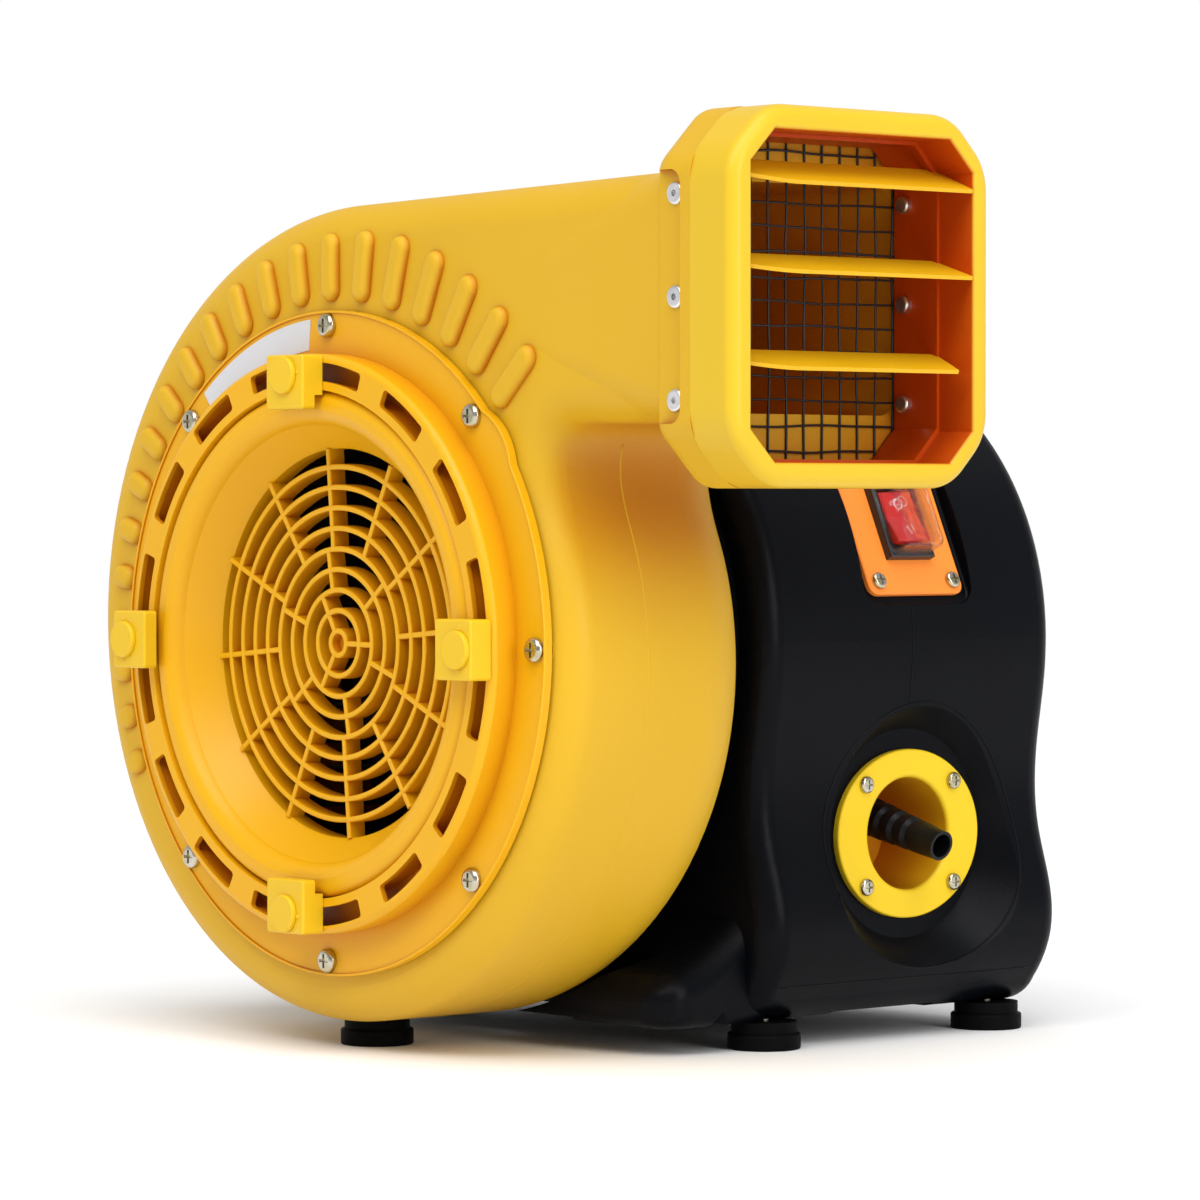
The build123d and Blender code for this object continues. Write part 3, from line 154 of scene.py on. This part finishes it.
def plastic(name, color, shade, rough, grain=900.0, depth=0.00002, swell=0.0003, coat=0.0,
            painted_shade_color=None, specular=0.5, reach=0.06, shut=0.15, open_wide=0.8, alone=True):
    """Moulded plastic: fine grain, faint flow marks, and a slow change of shade and gloss.
    Where a shade colour is given, hollows narrower than reach turn that colour: painted shade through an occlusion
    mask, standing in for the deeper tone that light takes in translucent plastic."""
    material, tree, shader = new_material(name)
    here = coordinates(tree)
    slow = noise(tree, here, 7.0, 2.0)
    flow = noise(tree, coordinates(tree, (1.0, 1.0, 0.35)), 28.0, 3.0)
    fine = noise(tree, here, grain, 2.0)
    dark = tuple(c * shade for c in color)
    shown = blend_colors(tree, spread(tree, slow, 0.0, 1.0), dark, color)
    # Painted shade: corners and hollows are tinted towards the shade colour through the occlusion mask.
    if painted_shade_color is not None:
        painted_shade_mix = tree.nodes.new("ShaderNodeMix")
        painted_shade_mix.data_type = "RGBA"
        painted_shade_mix.inputs["A"].default_value = (*painted_shade_color, 1.0)
        tree.links.new(shown, painted_shade_mix.inputs["B"])
        tree.links.new(painted_shade_mask(tree, reach, shut, open_wide, alone), painted_shade_mix.inputs["Factor"])
        shown = painted_shade_mix.outputs["Result"]
    tree.links.new(shown, shader.inputs["Base Color"])
    shader.inputs["Specular IOR Level"].default_value = specular
    tree.links.new(spread(tree, flow, rough - 0.05, rough + 0.07), shader.inputs["Roughness"])
    raise_bumps(tree, shader, [(slow, swell), (fine, depth)])
    shader.inputs["Coat Weight"].default_value = coat
    shader.inputs["Coat Roughness"].default_value = 0.25
    return material


def metal(name, color, rough, grain=(60.0, 60.0, 60.0), depth=0.00001, tint=None):
    """Plated or machined metal: brushed grain, with patches of a second tint."""
    material, tree, shader = new_material(name)
    here = coordinates(tree)
    brushed = noise(tree, coordinates(tree, grain), 30.0, 3.0)
    patch = noise(tree, here, 160.0, 3.0)
    second = tint or tuple(c * 0.8 for c in color)
    tree.links.new(blend_colors(tree, spread(tree, patch, 0.0, 1.0), color, second),
                   shader.inputs["Base Color"])
    tree.links.new(spread(tree, brushed, rough - 0.06, rough + 0.1), shader.inputs["Roughness"])
    shader.inputs["Metallic"].default_value = 1.0
    raise_bumps(tree, shader, [(brushed, depth)])
    return material


def banded(name, light, dark, rough, pitch, metallic, direction="Y", depth=0.0001):
    """Layers seen edge on, such as laminations, windings or the plies of a stack."""
    material, tree, shader = new_material(name)
    wave = tree.nodes.new("ShaderNodeTexWave")
    wave.wave_type = "BANDS"
    wave.bands_direction = direction
    wave.inputs["Scale"].default_value = 2 * math.pi / (pitch * 20.0)
    wave.inputs["Distortion"].default_value = 0.25
    tree.links.new(coordinates(tree), wave.inputs["Vector"])
    soft = noise(tree, coordinates(tree), 90.0, 3.0)
    tree.links.new(blend_colors(tree, wave.outputs["Fac"], dark, light),
                   shader.inputs["Base Color"])
    tree.links.new(spread(tree, soft, rough - 0.05, rough + 0.12), shader.inputs["Roughness"])
    shader.inputs["Metallic"].default_value = metallic
    raise_bumps(tree, shader, [(wave.outputs["Fac"], depth)])
    return material


def clear_vinyl(name):
    """The soft clear boot: a thin skin with faint ripples and finger marks."""
    material, tree, shader = new_material(name)
    ripple = noise(tree, coordinates(tree), 140.0, 2.0)
    smear = noise(tree, coordinates(tree), 320.0, 4.0)
    tree.links.new(blend_colors(tree, smear, (0.96, 0.96, 0.97), (0.88, 0.88, 0.9)),
                   shader.inputs["Base Color"])
    tree.links.new(spread(tree, smear, 0.04, 0.16), shader.inputs["Roughness"])
    shader.inputs["Transmission Weight"].default_value = 1.0
    shader.inputs["IOR"].default_value = 1.2
    shader.inputs["Alpha"].default_value = 0.55
    raise_bumps(tree, shader, [(ripple, 0.0006)])
    return material


def make_materials():
    # Painted shade: the amber that the hollows of the yellow parts are tinted towards.
    painted_shade_amber = (0.56, 0.17, 0.001)
    zinc = (0.60, 0.57, 0.50)
    passivated = (0.46, 0.41, 0.24)

    # Every yellow part gets painted shade in its hollows, amber unless another colour is given.
    def yellow(name, color, rough, coat, depth=0.00001, painted_shade_color=painted_shade_amber, reach=0.06, shut=0.15,
               open_wide=0.8, alone=True):
        return plastic(name, color, 0.95, rough, 1100.0, depth, 0.0002, coat, painted_shade_color, 0.28, reach,
                       shut, open_wide, alone)

    return {
        # Painted shade: the casing's and the nozzle's hollows turn deep orange; the nozzle's also where other
        # pieces crowd it.
        "casing_yellow": yellow("casing_yellow", (0.66, 0.385, 0.012), 0.48, 0.0, 0.00003,
                                painted_shade_color=(0.46, 0.085, 0.001), reach=0.14, shut=0.25, open_wide=0.85),
        "guard_yellow": yellow("guard_yellow", (0.76, 0.39, 0.003), 0.4, 0.04),
        "clip_yellow": yellow("clip_yellow", (0.76, 0.48, 0.012), 0.38, 0.05),
        "nozzle_yellow": yellow("nozzle_yellow", (0.70, 0.455, 0.018), 0.4, 0.04,
                                painted_shade_color=(0.50, 0.055, 0.0005), reach=0.2, shut=0.5, open_wide=1.0,
                                alone=False),
        "vane_yellow": yellow("vane_yellow", (0.76, 0.42, 0.004), 0.42, 0.04),
        "cup_yellow": yellow("cup_yellow", (0.86, 0.58, 0.012), 0.44, 0.03),
        "gasket_foam": plastic("gasket_foam", (0.05, 0.05, 0.05), 0.6, 0.85, 500.0, 0.0003),
        "label_foil": plastic("label_foil", (0.62, 0.64, 0.68), 0.9, 0.3, 300.0, 0.00001, 0.0001),
        "screw_zinc": metal("screw_zinc", zinc, 0.2, tint=passivated),
        "rivet_aluminium": metal("rivet_aluminium", (0.82, 0.82, 0.83), 0.34),
        "mesh_black": plastic("mesh_black", (0.02, 0.02, 0.02), 0.6, 0.42, 600.0, 0.00003),
        "wheel_black": plastic("wheel_black", (0.018, 0.018, 0.02), 0.7, 0.5, 500.0, 0.00004),
        "hub_aluminium": metal("hub_aluminium", (0.74, 0.74, 0.75), 0.38),
        "steel_dark": metal("steel_dark", (0.14, 0.14, 0.15), 0.4),
        "plate_zinc": metal("plate_zinc", (0.66, 0.66, 0.64), 0.36, tint=(0.6, 0.6, 0.55)),
        "shaft_steel": metal("shaft_steel", (0.66, 0.66, 0.67), 0.24, (30.0, 400.0, 30.0)),
        "core_steel": banded("core_steel", (0.34, 0.35, 0.37), (0.16, 0.16, 0.17), 0.45,
                             0.0005, 0.9),
        "fan_grey": plastic("fan_grey", (0.16, 0.16, 0.17), 0.8, 0.5, 600.0),
        "bell_aluminium": metal("bell_aluminium", (0.62, 0.62, 0.63), 0.5, (40.0, 40.0, 40.0),
                                0.00006),
        "bearing_steel": metal("bearing_steel", (0.75, 0.75, 0.76), 0.18),
        "winding_copper": banded("winding_copper", (0.66, 0.27, 0.10), (0.30, 0.10, 0.03), 0.32,
                                 0.0011, 0.85, "Y", 0.0003),
        "capacitor_white": plastic("capacitor_white", (0.72, 0.72, 0.7), 0.95, 0.4),
        "terminal_ivory": plastic("terminal_ivory", (0.68, 0.62, 0.46), 0.92, 0.5),
        "pod_black": plastic("pod_black", (0.0022, 0.0026, 0.0042), 0.82, 0.34, 620.0, 0.00006,
                             0.0009, 0.0, None, 0.075),
        "switch_orange": plastic("switch_orange", (0.98, 0.27, 0.035), 0.95, 0.44, 900.0, 0.00002,
                                 0.0001, specular=0.3),
        "bezel_black": plastic("bezel_black", (0.012, 0.012, 0.015), 0.8, 0.3, 900.0, 0.00001,
                               0.0001),
        "rocker_red": plastic("rocker_red", (0.62, 0.008, 0.01), 0.8, 0.22, 900.0, 0.00001,
                              0.0001, 0.3),
        "boot_clear": clear_vinyl("boot_clear"),
        "relief_black": plastic("relief_black", (0.0045, 0.0045, 0.006), 0.8, 0.38, 700.0, 0.00003,
                                0.0001, specular=0.2),
        "foot_rubber": plastic("foot_rubber", (0.0035, 0.0036, 0.0042), 0.75, 0.55, 420.0, 0.00008,
                               0.0003, specular=0.04),
    }


MATERIALS = make_materials()


def paint_nodes():
    for part in RECORD["subparts"]:
        node = NODES[part["node"]]
        material = MATERIALS[part["material_slot"]]
        if not node.data.materials:
            node.data.materials.append(material)
        for k in range(len(node.data.materials)):
            node.data.materials[k] = material


paint_nodes()

# ---- Added pieces ------------------------------------------------------------------------------

SHAFT = place(0.0, 0.0, 0.0)


def finish_piece(name, mesh, slot, body="casing"):
    """Gives a mesh its finish and its body."""
    for polygon in mesh.polygons:
        polygon.use_smooth = True
    mesh.materials.append(MATERIALS[slot])
    piece = bpy.data.objects.new(name, mesh)
    bpy.context.scene.collection.objects.link(piece)
    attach(piece, body)
    return piece


def skin_of(node):
    """A CAD node's surface, for rays to be cast at."""
    mesh = NODES[node].data
    return BVHTree.FromPolygons([v.co for v in mesh.vertices],
                                [p.vertices[:] for p in mesh.polygons])


def trace_skin(skin, rays):
    """Where each (start, direction) ray meets a surface, with the surface's normal."""
    found = []
    for start, direction in rays:
        hit, normal = skin.ray_cast(start, direction)[:2]
        if hit is not None:
            found.append((hit, -normal if normal.dot(direction) > 0 else normal))
    return found


# A ridge's section, in parts of its width and of its height, from foot to foot.
RIDGE_SECTION = [(-0.5, -0.5), (-0.42, 0.35), (-0.2, 0.85), (0.0, 1.0), (0.2, 0.85), (0.42, 0.35),
                 (0.5, -0.5)]


def ridge(name, route, width, height, slot, closed=False, body="casing"):
    """A low raised line that follows a surface, rounded on top, with its foot sunk in. It never
    passes the lowest x of the CAD's own box, so it fades out where the drum touches that side."""
    mesh = bpy.data.meshes.new(name)
    bm = bmesh.new()
    rows = []
    count = len(route)
    for k, (point, normal) in enumerate(route):
        before = route[k - 1][0] if closed or k > 0 else point
        after = route[(k + 1) % count][0] if closed or k < count - 1 else point
        side = normal.cross(after - before).normalized()
        row = [point + side * width * u + normal * height * v for u, v in RIDGE_SECTION]
        rows.append([bm.verts.new((max(spot.x, CAD_BOX[0][0]), spot.y, spot.z)) for spot in row])
    for k in range(count if closed else count - 1):
        here, there = rows[k], rows[(k + 1) % count]
        for m in range(len(RIDGE_SECTION)):
            n = (m + 1) % len(RIDGE_SECTION)
            bm.faces.new((here[m], there[m], there[n], here[n]))
    if not closed:
        bm.faces.new(rows[0])
        bm.faces.new(list(reversed(rows[-1])))
    bmesh.ops.recalc_face_normals(bm, faces=bm.faces)
    bm.to_mesh(mesh)
    bm.free()
    return finish_piece(name, mesh, slot, body)


def domes(name, spots, radius, height, slot, body="casing"):
    """Low round bumps on a surface, each given by its foot and its normal."""
    mesh = bpy.data.meshes.new(name)
    bm = bmesh.new()
    around = 20
    for foot, normal in spots:
        side = normal.orthogonal().normalized()
        other = normal.cross(side)
        rings = []
        for reach, rise in ((1.0, -0.4), (1.0, 0.35), (0.86, 0.78), (0.5, 0.97)):
            ring = []
            for k in range(around):
                angle = 2 * math.pi * k / around
                spoke = side * math.cos(angle) + other * math.sin(angle)
                ring.append(bm.verts.new(foot + spoke * radius * reach + normal * height * rise))
            rings.append(ring)
        for here, there in zip(rings, rings[1:]):
            for k in range(around):
                n = (k + 1) % around
                bm.faces.new((here[k], here[n], there[n], there[k]))
        bm.faces.new(rings[-1])
        bm.faces.new(list(reversed(rings[0])))
    bmesh.ops.recalc_face_normals(bm, faces=bm.faces)
    bm.to_mesh(mesh)
    bm.free()
    return finish_piece(name, mesh, slot, body)


SEAM_Y = 48.0                # the plane of the casing's parting line
OUTSIDE = 280.0              # from the shaft, well beyond the drum that the rays sweep
RIGHT_SIDE = 200.0           # beyond the pod's right side
ABOVE = 240.0                # over the casing's roof


def make_casing_seam():
    """The mould's parting line, from under the duct, round the drum and along the roof."""
    skin = skin_of("volute_casing")
    rays = [(place(205.0, SEAM_Y, z), Vector((-1, 0, 0))) for z in range(84, 0, -4)]
    for angle in range(0, -258, -3):
        away = Vector((math.cos(math.radians(angle)), 0, math.sin(math.radians(angle))))
        rays.append((place(0, SEAM_Y, 0) + away * OUTSIDE * MM, -away))
    rays += [(place(x, SEAM_Y, ABOVE), Vector((0, 0, -1))) for x in range(-36, 200, 6)]
    return ridge("casing_mould_line", trace_skin(skin, rays), 0.9 * MM, 0.16 * MM, "casing_yellow")


DISH_AT = (231.0, -85.0)     # middle of the crease round the cable dish, in (y, z)
DISH_HALF_WIDTH = 58.5
DISH_HALF_HEIGHT = 58.0
DISH_TAPER = 0.09            # the share by which the crease narrows towards its top
DISH_STEPS = 120


def make_pod_lines():
    """The pod's parting lines: up its flank, along its foot, and round the cable dish."""
    skin = skin_of("motor_pod")
    inward = Vector((-1, 0, 0))
    flank = [(place(RIGHT_SIDE, 222.0, z), inward) for z in range(16, -30, -3)]
    ridge("pod_flank_line", trace_skin(skin, flank), 0.7 * MM, 0.2 * MM, "pod_black")
    foot = [(place(RIGHT_SIDE, y, -147.0), inward) for y in range(146, 302, 4)]
    ridge("pod_foot_line", trace_skin(skin, foot), 0.8 * MM, 0.22 * MM, "pod_black")
    egg = []
    for k in range(DISH_STEPS):
        angle = 2 * math.pi * k / DISH_STEPS
        narrow = 1.0 - DISH_TAPER * math.sin(angle)
        y = DISH_AT[0] + DISH_HALF_WIDTH * narrow * math.cos(angle)
        z = DISH_AT[1] + DISH_HALF_HEIGHT * math.sin(angle)
        egg.append((place(RIGHT_SIDE, y, z), inward))
    ridge("pod_dish_line", trace_skin(skin, egg), 1.0 * MM, 0.3 * MM, "pod_black", closed=True)


SWITCH_TILT = 24.4           # degrees that the switch's face looks upwards
RING_MARK_R = 2.3
RING_MARK_UP = 6.6           # from the rocker's middle to the ring's middle
BAR_MARK_DOWN = 4.4          # from the rocker's middle to the bar's top
MARK_HEIGHT = 0.08
RING_STEPS = 28


def make_switch_marks():
    """The ring and the bar on the rocker's two halves, as on any power switch."""
    skin = skin_of("switch_rocker")
    tilt = math.radians(SWITCH_TILT)
    out = Vector((math.cos(tilt), 0, math.sin(tilt)))
    up = Vector((-math.sin(tilt), 0, math.cos(tilt)))
    along = Vector((0, 1, 0))
    low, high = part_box("switch_rocker")
    middle = (low + high) / 2
    start = middle + out * 30.0 * MM
    ring = []
    for k in range(RING_STEPS):
        angle = 2 * math.pi * k / RING_STEPS
        spot = start + up * (RING_MARK_UP + RING_MARK_R * math.sin(angle)) * MM
        ring.append((spot + along * RING_MARK_R * MM * math.cos(angle), -out))
    bar = [(start - up * (BAR_MARK_DOWN + 0.5 * k) * MM, -out) for k in range(10)]
    ridge("switch_ring_mark", trace_skin(skin, ring), 0.75 * MM, MARK_HEIGHT * MM,
          "capacitor_white", closed=True, body="rocker")
    ridge("switch_bar_mark", trace_skin(skin, bar), 0.9 * MM, MARK_HEIGHT * MM,
          "capacitor_white", body="rocker")


NUB_ASIDE = 8.6              # from the clip's middle, sideways
NUB_OUT = 4.0                # from the clip's middle, away from the shaft


def make_clip_nubs():
    """Two small moulded nubs beside each clip's round button."""
    inward = Vector((0, 1, 0))
    for side in ("top", "right", "bottom", "left"):
        body = side + "_clip"
        low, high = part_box("clip_" + side)
        middle = (low + high) / 2
        out = middle - SHAFT
        out.y = 0.0
        out.normalize()
        across = Vector((out.z, 0, -out.x))
        rays = []
        for way in (-1, 1):
            spot = middle + across * NUB_ASIDE * MM * way + out * NUB_OUT * MM
            rays.append((Vector((spot.x, low.y - 20.0 * MM, spot.z)), inward))
        spots = trace_skin(skin_of("clip_" + side), rays)
        if spots:
            domes("clip_nubs_" + side, spots, 0.8 * MM, 0.5 * MM, "clip_yellow", body)


BELL_DOT_R = 86.0            # from the shaft
BELL_DOT_ANGLES = (62.0, -62.0)


def make_bell_dots():
    """The ejector marks that the mould leaves in the inlet bell's cone."""
    inward = Vector((0, 1, 0))
    rays = []
    for angle in BELL_DOT_ANGLES:
        x = BELL_DOT_R * math.cos(math.radians(angle))
        z = BELL_DOT_R * math.sin(math.radians(angle))
        rays.append((place(x, -60.0, z), inward))
    domes("bell_dots", trace_skin(skin_of("inlet_bell"), rays), 1.0 * MM, 0.3 * MM, "guard_yellow")


WIRE_R = 0.5 * MM
WIRE_PITCH = 10.0 * MM
WIRE_LAYER = 0.33 * MM       # from the guard's middle to the middle of each layer of wires
WIRE_SIDES = 8
WIRE_STEPS = 44
OUTER_WIRE = 6               # counted from the middle wire
CUT_CORNER = 13.0 * MM       # by which the outer wires stop short at each end


def make_wire_guard():
    """The outlet's guard as drawn wires, each a little bent, welded where they cross."""
    low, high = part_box("outlet_mesh")
    middle = (low + high) / 2
    mesh = bpy.data.meshes.new("wire_guard")
    bm = bmesh.new()
    for upright in (True, False):
        across, along = (1, 2) if upright else (2, 1)
        depth = middle.x + (-WIRE_LAYER if upright else WIRE_LAYER)
        for k in range(-OUTER_WIRE, OUTER_WIRE + 1):
            start, stop = low[along], high[along]
            if abs(k) == OUTER_WIRE:
                start, stop = start + CUT_CORNER, stop - CUT_CORNER
            rings = []
            for n in range(WIRE_STEPS + 1):
                t = n / WIRE_STEPS
                calm = math.sin(math.pi * t)
                wander = 0.55 * MM * calm * math.sin(5.3 * t + 1.9 * k + (2.0 if upright else 0.4))
                wander += 0.22 * MM * calm * math.sin(17.0 * t + 3.1 * k)
                centre = [depth, 0.0, 0.0]
                centre[across] = middle[across] + WIRE_PITCH * k + wander
                centre[along] = start + (stop - start) * t
                ring = []
                for m in range(WIRE_SIDES):
                    turn = 2 * math.pi * m / WIRE_SIDES
                    point = list(centre)
                    point[0] += WIRE_R * math.cos(turn)
                    point[across] += WIRE_R * math.sin(turn)
                    ring.append(bm.verts.new(point))
                rings.append(ring)
            for here, there in zip(rings, rings[1:]):
                for m in range(WIRE_SIDES):
                    n = (m + 1) % WIRE_SIDES
                    bm.faces.new((here[m], there[m], there[n], here[n]))
            bm.faces.new(rings[0])
            bm.faces.new(list(reversed(rings[-1])))
    bmesh.ops.recalc_face_normals(bm, faces=bm.faces)
    bm.to_mesh(mesh)
    bm.free()
    guard = finish_piece("wire_guard", mesh, "mesh_black")
    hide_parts("outlet_mesh")


make_casing_seam()
make_pod_lines()
make_switch_marks()
make_clip_nubs()
make_bell_dots()
make_wire_guard()

# ---- Room, light and camera --------------------------------------------------------------------

def make_floor():
    material, tree, shader = new_material("studio_floor")
    faint = noise(tree, coordinates(tree), 3.0, 2.0)
    tree.links.new(blend_colors(tree, faint, (0.93, 0.93, 0.93), (0.95, 0.95, 0.95)),
                   shader.inputs["Base Color"])
    shader.inputs["Roughness"].default_value = 0.9
    mesh = bpy.data.meshes.new("studio_floor")
    reach = 14.0
    corners = [(-reach, -reach, 0), (reach, -reach, 0), (reach, reach, 0), (-reach, reach, 0)]
    mesh.from_pydata(corners, [], [(0, 1, 2, 3)])
    mesh.materials.append(material)
    floor = bpy.data.objects.new("studio_floor", mesh)
    bpy.context.scene.collection.objects.link(floor)


def area_light(name, place_at, aim, size, power, color=(1.0, 1.0, 1.0)):
    data = bpy.data.lights.new(name, "AREA")
    data.shape = "RECTANGLE"
    data.size, data.size_y = size
    data.energy = power
    data.color = color
    light = bpy.data.objects.new(name, data)
    light.location = place_at
    light.rotation_euler = (Vector(aim) - Vector(place_at)).to_track_quat("-Z", "Y").to_euler()
    bpy.context.scene.collection.objects.link(light)


BACKDROP = (-0.75, 0.66, 0.0)               # the way to the white wall that the camera sees
SUN_STRENGTH = 2.2
SUN_SOFTNESS = 50.0                         # degrees
SUN_WAY = (-0.45, 0.35, -1.0)
LOOK_AT = (0.0, 0.0, 0.2)


def make_lights():
    """A white wall behind the machine that fades towards its front, and soft boxes."""
    world = bpy.data.worlds.new("studio")
    world.use_nodes = True
    tree = world.node_tree
    background = tree.nodes["Background"]
    background.inputs["Color"].default_value = (1.0, 1.0, 1.0, 1.0)
    source = tree.nodes.new("ShaderNodeTexCoord")
    split = tree.nodes.new("ShaderNodeSeparateXYZ")
    ceiling = tree.nodes.new("ShaderNodeMapRange")
    ceiling.inputs["From Min"].default_value = 0.16
    ceiling.inputs["From Max"].default_value = 0.45
    ceiling.inputs["To Min"].default_value = 1.0
    ceiling.inputs["To Max"].default_value = 0.72
    tree.links.new(source.outputs["Generated"], split.inputs["Vector"])
    tree.links.new(split.outputs["Z"], ceiling.inputs["Value"])
    facing = tree.nodes.new("ShaderNodeVectorMath")
    facing.operation = "DOT_PRODUCT"
    facing.inputs[1].default_value = BACKDROP
    tree.links.new(source.outputs["Generated"], facing.inputs[0])
    wall = tree.nodes.new("ShaderNodeMapRange")
    wall.inputs["From Min"].default_value = -0.5
    wall.inputs["From Max"].default_value = 0.9
    wall.inputs["To Min"].default_value = 0.42
    wall.inputs["To Max"].default_value = 1.0
    tree.links.new(facing.outputs["Value"], wall.inputs["Value"])
    both = tree.nodes.new("ShaderNodeMath")
    both.operation = "MULTIPLY"
    tree.links.new(ceiling.outputs["Result"], both.inputs[0])
    tree.links.new(wall.outputs["Result"], both.inputs[1])
    tree.links.new(both.outputs["Value"], background.inputs["Strength"])
    bpy.context.scene.world = world
    sun = bpy.data.lights.new("sky_box", "SUN")
    sun.energy = SUN_STRENGTH
    sun.angle = math.radians(SUN_SOFTNESS)
    overhead = bpy.data.objects.new("sky_box", sun)
    overhead.rotation_euler = Vector(SUN_WAY).to_track_quat("-Z", "Y").to_euler()
    bpy.context.scene.collection.objects.link(overhead)
    area_light("key", (0.6, -2.2, 1.9), LOOK_AT, (1.0, 1.0), 19.0)
    area_light("right", (2.4, -0.1, 1.0), LOOK_AT, (0.7, 1.5), 22.0)


CAMERA_AT = (1732.73, -1375.30, 59.59)      # millimetres from the shaft, see place()
CAMERA_TURN = 48.573                        # degrees round from the inlet's side
CAMERA_DIP = 1.066                          # degrees below the horizon
CAMERA_LENS = 155.9


def make_camera():
    """The camera of the picture: 2.2 m away, a little above the shaft, and about halfway from
    the inlet's side to the outlet's."""
    data = bpy.data.cameras.new("camera")
    data.sensor_width = 36.0
    data.lens = CAMERA_LENS
    camera = bpy.data.objects.new("camera", data)
    turn, dip = math.radians(CAMERA_TURN), math.radians(CAMERA_DIP)
    ahead = Vector((-math.sin(turn) * math.cos(dip), math.cos(turn) * math.cos(dip),
                    -math.sin(dip)))
    camera.location = place(*CAMERA_AT)
    camera.rotation_mode = "QUATERNION"
    camera.rotation_quaternion = ahead.to_track_quat("-Z", "Y")
    bpy.context.scene.collection.objects.link(camera)
    bpy.context.scene.camera = camera


make_floor()
make_lights()
make_camera()
bpy.context.scene.view_settings.view_transform = "Standard"
